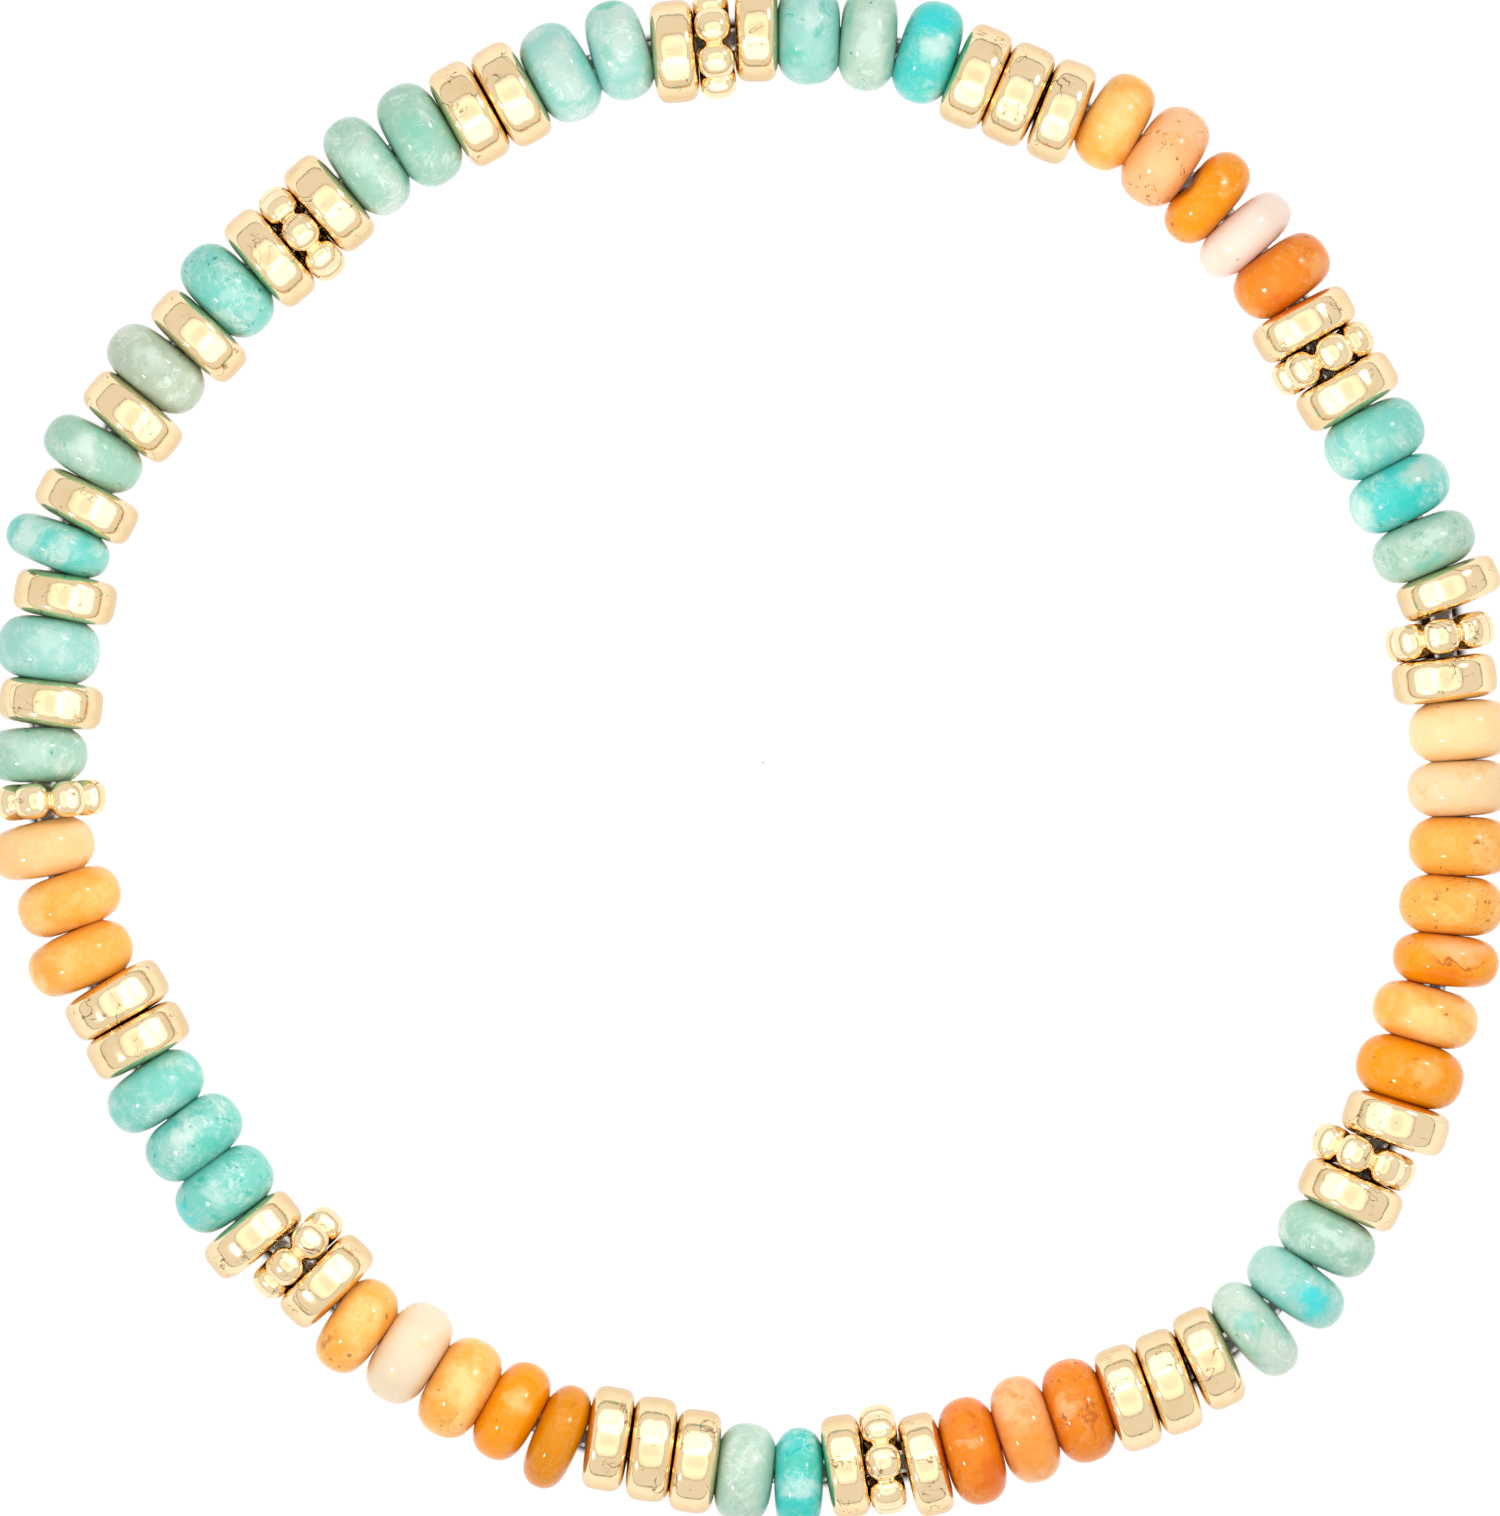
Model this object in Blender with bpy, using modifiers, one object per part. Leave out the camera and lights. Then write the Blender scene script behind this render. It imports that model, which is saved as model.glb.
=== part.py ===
"""A stretch bracelet of polished stone rondelles, gold-coloured discs and daisy spacers on an elastic cord.

The loop lies flat, as it rests on a table. The origin is under the middle of its outline, on the table, with +Z up.
Every bead is threaded on the same route and rests on its own lowest flat. Lengths are in metres.
"""

from collections import namedtuple
from math import cos, pi, radians, sin, tan

import bmesh
import bpy
from mathutils import Matrix, Vector

MM = 0.001

# Stones: drilled rondelles with full, rounded rims
STONE_DIAMETER = 4.28 * MM
STONE_THICKNESS = 2.20 * MM
STONE_FACE_SHARE = 0.52  # of the radius: the flat face round the bore
STONE_RIM_SHARE = 0.55  # of the thickness: the straight band on the rim

# Discs: plain metal wheels with rounded edges
DISC_DIAMETER = 4.20 * MM
DISC_THICKNESS = 1.67 * MM
DISC_CORNER = 0.40 * MM

# Daisies: rings of round granules round a thin web
GRANULE_DIAMETER = 1.38 * MM
GRANULES = 7
GRANULE_SPACING_SHARE = 0.975  # of the granule's diameter, from one middle to the next
WEB_THICKNESS_SHARE = 0.50  # of the granule's diameter

# Cord and the play of the beads on it
CORD_DIAMETER = 0.90 * MM
BORE_CLEARANCE = 0.20 * MM
BEAD_GAP = 0.06 * MM
FIRST_BEAD = 0.15 * MM  # from the route's first point to the middle of the first bead
CORD_EASINGS = 2  # how often the cord's points are drawn towards their neighbours

# Facets
BEAD_SIDES = 12
BORE_SIDES = 10
DISC_SIDES = 10
GRANULE_SIDES = 8
GRANULE_RINGS = 4
CORD_RESOLUTION = 2  # makes eight sides
ROUTE_STEPS = 60  # between two points of the route
MERGE_DISTANCE = 0.001 * MM
FLAT_ANGLE = radians(0.1)  # faces this close to one plane become one
SHARP_ANGLE = radians(40)  # edges above this angle stay sharp

# The route of the loop, seen from above: a slightly uneven oval, clockwise from the top
ROUTE_MM = [
    (-3.2, 28.4),
    (7.9, 28.0),
    (17.7, 22.7),
    (24.5, 14.0),
    (28.0, 3.4),
    (27.8, -7.8),
    (23.8, -18.1),
    (15.5, -25.5),
    (4.8, -28.4),
    (-6.2, -27.3),
    (-16.0, -22.1),
    (-23.4, -13.7),
    (-27.8, -3.5),
    (-27.5, 7.6),
    (-22.1, 17.3),
    (-13.6, 24.4),
]

# Colours as red, green and blue from 0 to 255, with whether the stone is one of the blue-green ones
Tint = namedtuple("Tint", "colour cool")
TINTS = {
    "aqua": Tint((115, 218, 202), True),
    "pale_aqua": Tint((165, 226, 212), True),
    "turquoise": Tint((70, 215, 206), True),
    "mint": Tint((165, 222, 198), True),
    "sage": Tint((184, 214, 194), True),
    "grey_sage": Tint((182, 202, 174), True),
    "honey": Tint((252, 198, 104), False),
    "pale_honey": Tint((252, 220, 155), False),
    "cream": Tint((248, 234, 212), False),
    "milk_pink": Tint((252, 236, 226), False),
    "peach": Tint((252, 192, 140), False),
    "amber": Tint((248, 165, 45), False),
    "orange": Tint((244, 138, 42), False),
    "dark_amber": Tint((236, 146, 16), False),
}
GOLD = (232, 190, 120)
GOLD_ROUGHNESS = 0.12
STONE_ROUGHNESS = 0.15
DISPLAY_GAMMA = 2.2

# The beads in their order on the cord, clockwise from the top of the loop.
# wide is the share of its kind's thickness, tall the share of its kind's diameter, out how far its middle lies
# outside the route as a share of its diameter, lean the degrees that its outer edge leans clockwise, and turn the
# degrees that it is turned about the cord.
Bead = namedtuple("Bead", "kind tint wide tall out lean turn")
STRAND = [
    Bead("disc", "gold", 1.02, 0.98, -0.05, 4, 0),
    Bead("daisy", "gold", 1.00, 1.00, -0.03, 0, 26),
    Bead("disc", "gold", 0.98, 1.00, 0.08, 2, 0),
    Bead("stone", "pale_aqua", 1.08, 0.99, 0.04, -1, 0),
    Bead("stone", "sage", 0.98, 1.00, 0.03, -2, 0),
    Bead("stone", "turquoise", 1.01, 0.99, 0.00, 4, 0),
    Bead("disc", "gold", 1.06, 1.00, -0.10, 4, 0),
    Bead("disc", "gold", 1.07, 0.99, -0.11, 0, 0),
    Bead("disc", "gold", 1.01, 1.00, -0.08, -6, 0),
    Bead("stone", "honey", 1.00, 0.96, 0.09, -2, 0),
    Bead("stone", "peach", 1.08, 1.01, 0.08, -2, 0),
    Bead("stone", "amber", 0.90, 0.99, 0.03, -1, 0),
    Bead("stone", "milk_pink", 0.84, 1.01, 0.03, 2, 0),
    Bead("stone", "orange", 1.02, 0.99, 0.04, 3, 0),
    Bead("disc", "gold", 0.97, 1.01, -0.07, 6, 0),
    Bead("daisy", "gold", 1.00, 1.00, -0.08, 3, -13),
    Bead("disc", "gold", 1.02, 1.00, -0.06, -1, 0),
    Bead("stone", "aqua", 1.09, 0.99, -0.04, -2, 0),
    Bead("stone", "turquoise", 1.02, 1.01, -0.03, -6, 0),
    Bead("stone", "sage", 0.95, 1.00, 0.02, -5, 0),
    Bead("disc", "gold", 0.93, 1.00, 0.14, -7, 0),
    Bead("daisy", "gold", 1.00, 1.00, -0.04, 0, 0),
    Bead("disc", "gold", 1.01, 1.00, -0.07, 1, 0),
    Bead("stone", "pale_honey", 1.04, 0.99, 0.03, 0, 0),
    Bead("stone", "cream", 0.96, 1.00, 0.00, -2, 0),
    Bead("stone", "honey", 1.02, 0.99, 0.02, -2, 0),
    Bead("stone", "honey", 1.02, 0.99, -0.02, -3, 0),
    Bead("stone", "amber", 0.89, 1.02, 0.01, -5, 0),
    Bead("stone", "honey", 0.98, 1.01, -0.06, 1, 0),
    Bead("stone", "amber", 1.08, 1.03, -0.04, -2, 0),
    Bead("disc", "gold", 1.03, 1.02, 0.01, -6, 0),
    Bead("daisy", "gold", 1.00, 1.00, -0.13, -4, 13),
    Bead("disc", "gold", 1.00, 1.01, -0.05, -8, 0),
    Bead("stone", "mint", 0.99, 0.96, 0.01, -11, 0),
    Bead("stone", "pale_aqua", 0.93, 1.01, 0.09, -9, 0),
    Bead("stone", "mint", 0.89, 1.03, 0.11, 1, 0),
    Bead("disc", "gold", 1.01, 0.99, 0.06, 12, 0),
    Bead("disc", "gold", 1.00, 1.01, 0.03, 12, 0),
    Bead("disc", "gold", 1.02, 1.02, -0.03, 8, 0),
    Bead("stone", "orange", 1.02, 1.01, -0.11, 3, 0),
    Bead("stone", "peach", 0.97, 1.04, -0.10, -1, 0),
    Bead("stone", "orange", 0.98, 1.03, -0.03, -3, 0),
    Bead("disc", "gold", 0.92, 0.99, 0.02, -5, 0),
    Bead("daisy", "gold", 1.00, 1.00, -0.07, -3, 0),
    Bead("disc", "gold", 0.92, 0.99, -0.04, -6, 0),
    Bead("stone", "turquoise", 0.84, 0.98, 0.08, 0, 0),
    Bead("stone", "sage", 0.98, 0.96, 0.04, 2, 0),
    Bead("disc", "gold", 1.04, 0.99, -0.02, -1, 0),
    Bead("disc", "gold", 1.02, 1.00, -0.06, -5, 0),
    Bead("disc", "gold", 0.98, 1.00, -0.06, -7, 0),
    Bead("stone", "dark_amber", 0.81, 1.03, 0.07, 3, 0),
    Bead("stone", "amber", 0.93, 0.99, 0.01, 5, 0),
    Bead("stone", "honey", 1.06, 1.00, 0.03, 1, 0),
    Bead("stone", "cream", 1.06, 1.02, -0.01, -1, 0),
    Bead("stone", "honey", 0.96, 0.97, 0.07, -2, 0),
    Bead("disc", "gold", 1.01, 1.00, -0.08, 3, 0),
    Bead("daisy", "gold", 1.00, 1.00, -0.09, -1, 26),
    Bead("disc", "gold", 0.99, 1.00, 0.10, 3, 0),
    Bead("stone", "aqua", 1.07, 0.99, 0.02, 3, 0),
    Bead("stone", "aqua", 1.04, 1.00, -0.04, -2, 0),
    Bead("stone", "aqua", 1.00, 0.98, 0.02, -2, 0),
    Bead("disc", "gold", 1.03, 1.00, -0.08, 0, 0),
    Bead("disc", "gold", 1.04, 1.01, -0.08, -4, 0),
    Bead("stone", "honey", 1.00, 1.02, 0.07, -1, 0),
    Bead("stone", "honey", 0.98, 1.00, -0.01, -2, 0),
    Bead("stone", "pale_honey", 0.96, 0.99, 0.11, 0, 0),
    Bead("daisy", "gold", 1.00, 1.00, -0.04, 3, 26),
    Bead("stone", "mint", 0.95, 0.98, 0.07, 2, 0),
    Bead("disc", "gold", 1.03, 0.99, -0.08, 6, 0),
    Bead("stone", "pale_aqua", 1.10, 0.99, -0.02, 1, 0),
    Bead("disc", "gold", 1.03, 0.98, -0.10, -1, 0),
    Bead("stone", "aqua", 0.82, 1.02, 0.09, 2, 0),
    Bead("disc", "gold", 1.02, 1.00, -0.03, 4, 0),
    Bead("stone", "mint", 0.93, 1.00, 0.13, 2, 0),
    Bead("disc", "gold", 1.05, 1.02, -0.02, 8, 0),
    Bead("stone", "grey_sage", 1.02, 1.03, 0.05, 3, 0),
    Bead("disc", "gold", 1.01, 1.01, -0.08, 4, 0),
    Bead("stone", "aqua", 1.05, 1.01, 0.00, 2, 0),
    Bead("disc", "gold", 1.01, 1.02, -0.06, 2, 0),
    Bead("daisy", "gold", 1.00, 1.00, -0.08, -1, 0),
    Bead("disc", "gold", 1.03, 1.00, -0.02, -4, 0),
    Bead("stone", "mint", 0.99, 1.03, 0.06, -3, 0),
    Bead("stone", "mint", 1.06, 1.03, 0.05, -1, 0),
    Bead("disc", "gold", 1.06, 1.02, 0.01, -3, 0),
    Bead("disc", "gold", 1.05, 1.02, 0.01, -6, 0),
    Bead("stone", "pale_aqua", 1.05, 0.98, 0.03, -8, 0),
    Bead("stone", "pale_aqua", 1.00, 0.96, 0.07, -2, 0),
]

# Worked out from the sizes above
DAISY_RING_RADIUS = GRANULE_DIAMETER * GRANULE_SPACING_SHARE / (2 * sin(pi / GRANULES))
WEB_THICKNESS = GRANULE_DIAMETER * WEB_THICKNESS_SHARE
DAISY_DIAMETER = 2 * DAISY_RING_RADIUS + GRANULE_DIAMETER
THICKNESS = {"stone": STONE_THICKNESS, "disc": DISC_THICKNESS, "daisy": GRANULE_DIAMETER}
DIAMETER = {"stone": STONE_DIAMETER, "disc": DISC_DIAMETER, "daisy": DAISY_DIAMETER}
# How far the flat face reaches from the middle, to its corners
FACE_RADIUS = {
    "stone": STONE_DIAMETER / 2 * STONE_FACE_SHARE / cos(pi / BEAD_SIDES),
    "disc": (DISC_DIAMETER / 2 - DISC_CORNER) / cos(pi / DISC_SIDES),
    "daisy": DAISY_RING_RADIUS,
}

Place = namedtuple("Place", "bead middle along height thickness diameter")


def catmull_rom(a, b, c, d, t):
    """The point a share t of the way from b to c, on the smooth curve through a, b, c and d."""
    return 0.5 * (2 * b + (c - a) * t + (2 * a - 5 * b + 4 * c - d) * t**2 + (3 * b - a - 3 * c + d) * t**3)


def smooth_loop(points):
    """Many close points along the closed smooth curve through the route's few points."""
    count = len(points)
    loop = []
    for i in range(count):
        around = [points[(i + k) % count] for k in (-1, 0, 1, 2)]
        loop += [catmull_rom(*around, step / ROUTE_STEPS) for step in range(ROUTE_STEPS)]
    return loop


def loop_length(points):
    """The length of the closed line through the points."""
    return sum((b - a).length for a, b in zip(points, points[1:] + points[:1]))


def closest(a, b, turn):
    """How near the middles of two neighbouring beads come along the route, which turns clockwise by an angle there.

    Seen from above, the flat face of a bead is a straight line with two ends. The pair is clear once both ends of
    one bead's line are a gap beyond the other's line, whichever of the two lines is cleared first.
    """
    lean_a = radians(a.lean)
    lean_b = turn + radians(b.lean)
    normal_a = Vector((cos(lean_a), -sin(lean_a)))
    normal_b = Vector((cos(lean_b), -sin(lean_b)))
    step = Vector((cos(turn / 2), -sin(turn / 2)))
    shift_a = Vector((0, 1)) * DIAMETER[a.kind] * a.tall * a.out
    shift_b = Vector((sin(turn), cos(turn))) * DIAMETER[b.kind] * b.tall * b.out
    half_a = THICKNESS[a.kind] * a.wide / 2
    half_b = THICKNESS[b.kind] * b.wide / 2
    apart = shift_b - shift_a
    reach_b = abs(FACE_RADIUS[b.kind] * b.tall * sin(lean_b - lean_a))
    reach_a = abs(FACE_RADIUS[a.kind] * a.tall * sin(lean_b - lean_a))
    needed = half_a + half_b * normal_a.dot(normal_b) + BEAD_GAP + reach_b - apart.dot(normal_a)
    also_needed = half_b + half_a * normal_a.dot(normal_b) + BEAD_GAP + reach_a - apart.dot(normal_b)
    return min(needed / step.dot(normal_a), also_needed / step.dot(normal_b))


def pitches():
    """The distance along the route from each bead's middle to the next one's.

    The loop turns by 360 degrees over the strand, and each pair takes its share of that by thickness.
    """
    thickness = [THICKNESS[bead.kind] * bead.wide for bead in STRAND]
    result = []
    for i, bead in enumerate(STRAND):
        j = (i + 1) % len(STRAND)
        turn = pi * (thickness[i] + thickness[j]) / sum(thickness)
        result.append(closest(bead, STRAND[j], turn))
    return result


def lowest(bead):
    """How far the bead reaches down from its middle."""
    if bead.kind != "daisy":
        return DIAMETER[bead.kind] * bead.tall / 2
    step = 2 * pi / GRANULES
    from_bottom = (pi + radians(bead.turn)) % step
    nearest = min(from_bottom, step - from_bottom)
    return DAISY_RING_RADIUS * cos(nearest) + GRANULE_DIAMETER / 2


def strung():
    """Each bead's place: the route is drawn out to the strand's length, and the beads follow it one by one."""
    loop = smooth_loop([Vector((x * MM, y * MM)) for x, y in ROUTE_MM])
    steps = pitches()
    scale = sum(steps) / loop_length(loop)
    loop = [point * scale for point in loop]
    count = len(loop)
    places = []
    travelled = FIRST_BEAD
    reached = 0.0
    corner = 0
    for bead, step in zip(STRAND, steps):
        here, there = loop[corner % count], loop[(corner + 1) % count]
        while reached + (there - here).length < travelled:
            reached += (there - here).length
            corner += 1
            here, there = loop[corner % count], loop[(corner + 1) % count]
        along = (there - here).normalized()
        outward = Vector((-along.y, along.x))
        diameter = DIAMETER[bead.kind] * bead.tall
        middle = here + along * (travelled - reached) + outward * bead.out * diameter
        leaning = Matrix.Rotation(-radians(bead.lean), 2) @ along
        thickness = THICKNESS[bead.kind] * bead.wide
        places.append(Place(bead, middle, leaning, lowest(bead), thickness, diameter))
        travelled += step
    return places


def centred(places):
    """The same places with the middle of the outline of all beads over the origin."""
    reach = [place.diameter / 2 for place in places]
    low = Vector((min(p.middle[k] - r for p, r in zip(places, reach)) for k in (0, 1)))
    high = Vector((max(p.middle[k] + r for p, r in zip(places, reach)) for k in (0, 1)))
    shift = (low + high) / 2
    return [place._replace(middle=place.middle - shift) for place in places]


def new_collection(name):
    """A collection of its own in the scene."""
    group = bpy.data.collections.new(name)
    bpy.context.scene.collection.children.link(group)
    return group


def new_object(name, data, group):
    """An object that shows the mesh or curve, in a collection."""
    made = bpy.data.objects.new(name, data)
    group.objects.link(made)
    return made


def turned(name, outline, sides, group):
    """A solid turned about its own Z axis. The outline's (radius, height) points run down the outer side.

    The corners stand outside the true circle by one over the cosine of half a side, so the flats touch it, and one
    flat faces straight down once the bead lies on its rim.
    """
    mesh = bpy.data.meshes.new(name)
    corner = tan(pi / sides)
    points = [(radius, radius * corner, height) for radius, height in outline]
    edges = [(i, (i + 1) % len(points)) for i in range(len(points))]
    if outline[0][0] == 0:
        edges.pop()
    mesh.from_pydata(points, edges, [])
    made = new_object(name, mesh, group)
    screw = made.modifiers.new("Turn", "SCREW")
    screw.axis = "Z"
    screw.angle = 2 * pi
    screw.steps = sides
    screw.render_steps = sides
    screw.use_merge_vertices = True
    screw.merge_threshold = MERGE_DISTANCE
    screw.use_smooth_shade = True
    return made


def as_mesh(source, group):
    """The evaluated object as a plain mesh object in its place, with its doubles merged. The source is removed."""
    bpy.context.view_layer.update()
    evaluated = source.evaluated_get(bpy.context.evaluated_depsgraph_get())
    mesh = bpy.data.meshes.new_from_object(evaluated)
    shape = bmesh.new()
    shape.from_mesh(mesh)
    bmesh.ops.remove_doubles(shape, verts=shape.verts, dist=MERGE_DISTANCE)
    bmesh.ops.dissolve_limit(shape, angle_limit=FLAT_ANGLE, verts=shape.verts, edges=shape.edges)
    shape.to_mesh(mesh)
    shape.free()
    name = source.name
    matrix = source.matrix_world.copy()
    bpy.data.objects.remove(source)
    made = new_object(name, mesh, group)
    made.matrix_world = matrix
    return made


def joined(name, pieces, group):
    """One mesh object, at the origin, that holds the shapes of all the pieces. The pieces are removed."""
    shape = bmesh.new()
    for piece in pieces:
        first = len(shape.verts)
        shape.from_mesh(piece.data)
        shape.verts.ensure_lookup_table()
        bmesh.ops.transform(shape, matrix=piece.matrix_world, verts=shape.verts[first:])
        bpy.data.objects.remove(piece)
    mesh = bpy.data.meshes.new(name)
    shape.to_mesh(mesh)
    shape.free()
    return new_object(name, mesh, group)


def combined(base, other, operation, group):
    """The Boolean union or difference of two mesh objects, as one with the base's name. The sources are removed."""
    boolean = base.modifiers.new("Combine", "BOOLEAN")
    boolean.operation = operation
    boolean.solver = "EXACT"
    boolean.use_self = True
    boolean.object = other
    result = as_mesh(base, group)
    bpy.data.objects.remove(other)
    return result


def bead_matrix(place):
    """A bead's own Z runs along the cord and its own X points up, and it stands on its lowest flat."""
    along = place.along.to_3d()
    up = Matrix.Rotation(radians(place.bead.turn), 3, along) @ Vector((0, 0, 1))
    side = along.cross(up)
    matrix = Matrix((up, side, along)).transposed().to_4x4()
    matrix.translation = (*place.middle, place.height)
    return matrix


def rondelle(place, group):
    """An undrilled stone: a flat face on each side, a sloped shoulder, and a straight band on the rim."""
    radius = place.diameter / 2
    half = place.thickness / 2
    face = radius * STONE_FACE_SHARE
    rim = half * STONE_RIM_SHARE
    outline = [(0, half), (face, half), (radius, rim), (radius, -rim), (face, -half), (0, -half)]
    made = turned("stone", outline, BEAD_SIDES, group)
    made.matrix_world = bead_matrix(place)
    return as_mesh(made, group)


def drill(before, here, after, length, group):
    """A straight round cutter through a point of the cord, along the line between the points on either side."""
    radius = (CORD_DIAMETER / 2 + BORE_CLEARANCE) / cos(pi / BORE_SIDES)
    turn = (after - before).to_track_quat("Z", "X").to_matrix().to_4x4()
    shape = bmesh.new()
    bmesh.ops.create_cone(
        shape,
        cap_ends=True,
        segments=BORE_SIDES,
        radius1=radius,
        radius2=radius,
        depth=length,
        matrix=Matrix.Translation(here) @ turn,
    )
    mesh = bpy.data.meshes.new("drill")
    shape.to_mesh(mesh)
    shape.free()
    return new_object("drill", mesh, group)


def stone(name, place, near, group):
    """A drilled rondelle. Its bore follows the cord, given by its points before, in and after the stone."""
    cutter = drill(*near, 2 * place.thickness, group)
    made = combined(rondelle(place, group), cutter, "DIFFERENCE", group)
    made.name = name
    return made


def disc(place, group):
    """A plain metal wheel with rounded edges, solid where the cord fills its bore."""
    radius = place.diameter / 2
    half = place.thickness / 2
    corner = min(DISC_CORNER, half)
    outline = [
        (0, half),
        (radius - corner, half),
        (radius, half - corner),
        (radius, corner - half),
        (radius - corner, -half),
        (0, -half),
    ]
    made = turned("disc", outline, DISC_SIDES, group)
    made.matrix_world = bead_matrix(place)
    return as_mesh(made, group)


def daisy_mesh(group):
    """A ring of round granules fused to a thin round web. The first granule lies on the bead's own X axis."""
    web = bmesh.new()
    bmesh.ops.create_cone(
        web,
        cap_ends=True,
        segments=2 * GRANULES,
        radius1=DAISY_RING_RADIUS,
        radius2=DAISY_RING_RADIUS,
        depth=WEB_THICKNESS,
    )
    web_mesh = bpy.data.meshes.new("web")
    web.to_mesh(web_mesh)
    web.free()
    ring = bmesh.new()
    for k in range(GRANULES):
        turn = Matrix.Rotation(2 * pi * k / GRANULES, 4, "Z")
        place = turn @ Matrix.Translation((DAISY_RING_RADIUS, 0, 0))
        bmesh.ops.create_uvsphere(
            ring,
            u_segments=GRANULE_SIDES,
            v_segments=GRANULE_RINGS,
            radius=GRANULE_DIAMETER / 2,
            matrix=place,
        )
    ring_mesh = bpy.data.meshes.new("granules")
    ring.to_mesh(ring_mesh)
    ring.free()
    web_object = new_object("web", web_mesh, group)
    whole = combined(web_object, new_object("granules", ring_mesh, group), "UNION", group)
    mesh = whole.data
    bpy.data.objects.remove(whole)
    return mesh


def cord_points(places):
    """A point of the cord in each bead: the bead's middle, eased towards its neighbours' middles.

    The cord bends less than the beads stand out of line, so it runs off the middle of those that stand out.
    """
    points = [Vector((*place.middle, place.height)) for place in places]
    count = len(points)
    for _ in range(CORD_EASINGS):
        points = [(points[i - 1] + 2 * points[i] + points[(i + 1) % count]) / 4 for i in range(count)]
    return points


def cord(points, group):
    """The elastic cord: a closed tube through the points."""
    curve = bpy.data.curves.new("cord", "CURVE")
    curve.dimensions = "3D"
    curve.bevel_depth = CORD_DIAMETER / 2
    curve.bevel_resolution = CORD_RESOLUTION
    spline = curve.splines.new("POLY")
    spline.points.add(len(points) - 1)
    for made, point in zip(spline.points, points):
        made.co = (*point, 1)
    spline.use_cyclic_u = True
    return as_mesh(new_object("cord", curve, group), group)


def finish(made, colour, roughness, metallic):
    """A material of the piece's own, from a colour in red, green and blue from 0 to 255."""
    material = bpy.data.materials.new(made.name)
    material.use_nodes = True
    shader = material.node_tree.nodes["Principled BSDF"]
    linear = [(value / 255) ** DISPLAY_GAMMA for value in colour]
    shader.inputs["Base Color"].default_value = (*linear, 1)
    shader.inputs["Roughness"].default_value = roughness
    shader.inputs["Metallic"].default_value = metallic
    made.data.materials.append(material)


def build():
    """Clears the scene and makes the bracelet."""
    for old in list(bpy.data.objects):
        bpy.data.objects.remove(old)
    group = new_collection("gemstone_bead_bracelet")
    loop = new_object("bracelet", None, group)
    places = centred(strung())
    thread = cord_points(places)
    counts = {True: 0, False: 0}
    spacers = []
    daisy = daisy_mesh(group)
    for i, place in enumerate(places):
        if place.bead.kind == "stone":
            tint = TINTS[place.bead.tint]
            counts[tint.cool] += 1
            word = "aqua_stone" if tint.cool else "honey_stone"
            near = (thread[i - 1], thread[i], thread[(i + 1) % len(thread)])
            made = stone(f"{word}_{counts[tint.cool]:02d}", place, near, group)
            finish(made, tint.colour, STONE_ROUGHNESS, 0)
            made.parent = loop
        elif place.bead.kind == "disc":
            spacers.append(disc(place, group))
        else:
            made = new_object("daisy", daisy, group)
            made.matrix_world = bead_matrix(place)
            spacers.append(made)
    string = combined(cord(thread, group), joined("spacers", spacers, group), "UNION", group)
    string.name = "spacers_on_cord"
    string.data.shade_smooth()
    string.data.set_sharp_from_angle(angle=SHARP_ANGLE)
    finish(string, GOLD, GOLD_ROUGHNESS, 1)
    string.parent = loop


build()
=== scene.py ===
"""The finish of a gemstone bead bracelet: polished stones, gold discs and daisies on a clear elastic cord.

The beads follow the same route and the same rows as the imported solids, in metres, with +Z up. A bead's own
frame has its first axis along the cord, clockwise, its second outwards from the loop, and its third up.
"""

from collections import namedtuple
from math import atan2, cos, pi, radians, sin

import bpy
import numpy as np
from mathutils import Matrix, Vector


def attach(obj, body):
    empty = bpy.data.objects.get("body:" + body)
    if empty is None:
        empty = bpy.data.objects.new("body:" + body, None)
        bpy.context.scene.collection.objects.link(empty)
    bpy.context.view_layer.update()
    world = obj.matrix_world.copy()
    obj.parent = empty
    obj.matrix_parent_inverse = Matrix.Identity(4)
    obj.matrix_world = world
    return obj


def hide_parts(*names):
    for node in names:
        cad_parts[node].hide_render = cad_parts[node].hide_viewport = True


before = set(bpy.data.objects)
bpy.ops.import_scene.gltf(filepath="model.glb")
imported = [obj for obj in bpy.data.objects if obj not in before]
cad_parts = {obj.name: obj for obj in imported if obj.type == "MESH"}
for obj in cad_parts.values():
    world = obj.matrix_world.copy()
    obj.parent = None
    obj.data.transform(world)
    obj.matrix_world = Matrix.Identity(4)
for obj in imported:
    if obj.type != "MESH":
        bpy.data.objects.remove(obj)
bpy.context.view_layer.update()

MM = 0.001

# Sizes of the beads, as in the solids
STONE_DIAMETER = 4.28 * MM
STONE_THICKNESS = 2.20 * MM
STONE_FACE_SHARE = 0.52
DISC_DIAMETER = 4.20 * MM
DISC_THICKNESS = 1.67 * MM
DISC_CORNER = 0.40 * MM
GRANULE_DIAMETER = 1.38 * MM
GRANULES = 7
GRANULE_SPACING_SHARE = 0.975
CORD_DIAMETER = 0.90 * MM
BORE_CLEARANCE = 0.20 * MM
BEAD_GAP = 0.06 * MM

# The beads' sides are crowned a little where the solids' are flat, and their rims follow superellipses
CROWNED = 1.055
STONE_ROUNDNESS = 2.25
DISC_ROUNDNESS = 3.8
GRANULE_ROUNDNESS = 2.6
DISC_CROWN = 1.25 * MM
NECK_SHARE = 0.5
# Heights in millimetres below which the gold of the discs and of the daisies is painted with shade, darker
# towards the bottom
DISC_PAINTED_SHADE_BELOW = 2.65
DAISY_PAINTED_SHADE_BELOW = 0.6

FIRST_BEAD = 0.15 * MM
CORD_EASINGS = 2
BEAD_SIDES = 12
DISC_SIDES = 10
ROUTE_STEPS = 60

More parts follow.
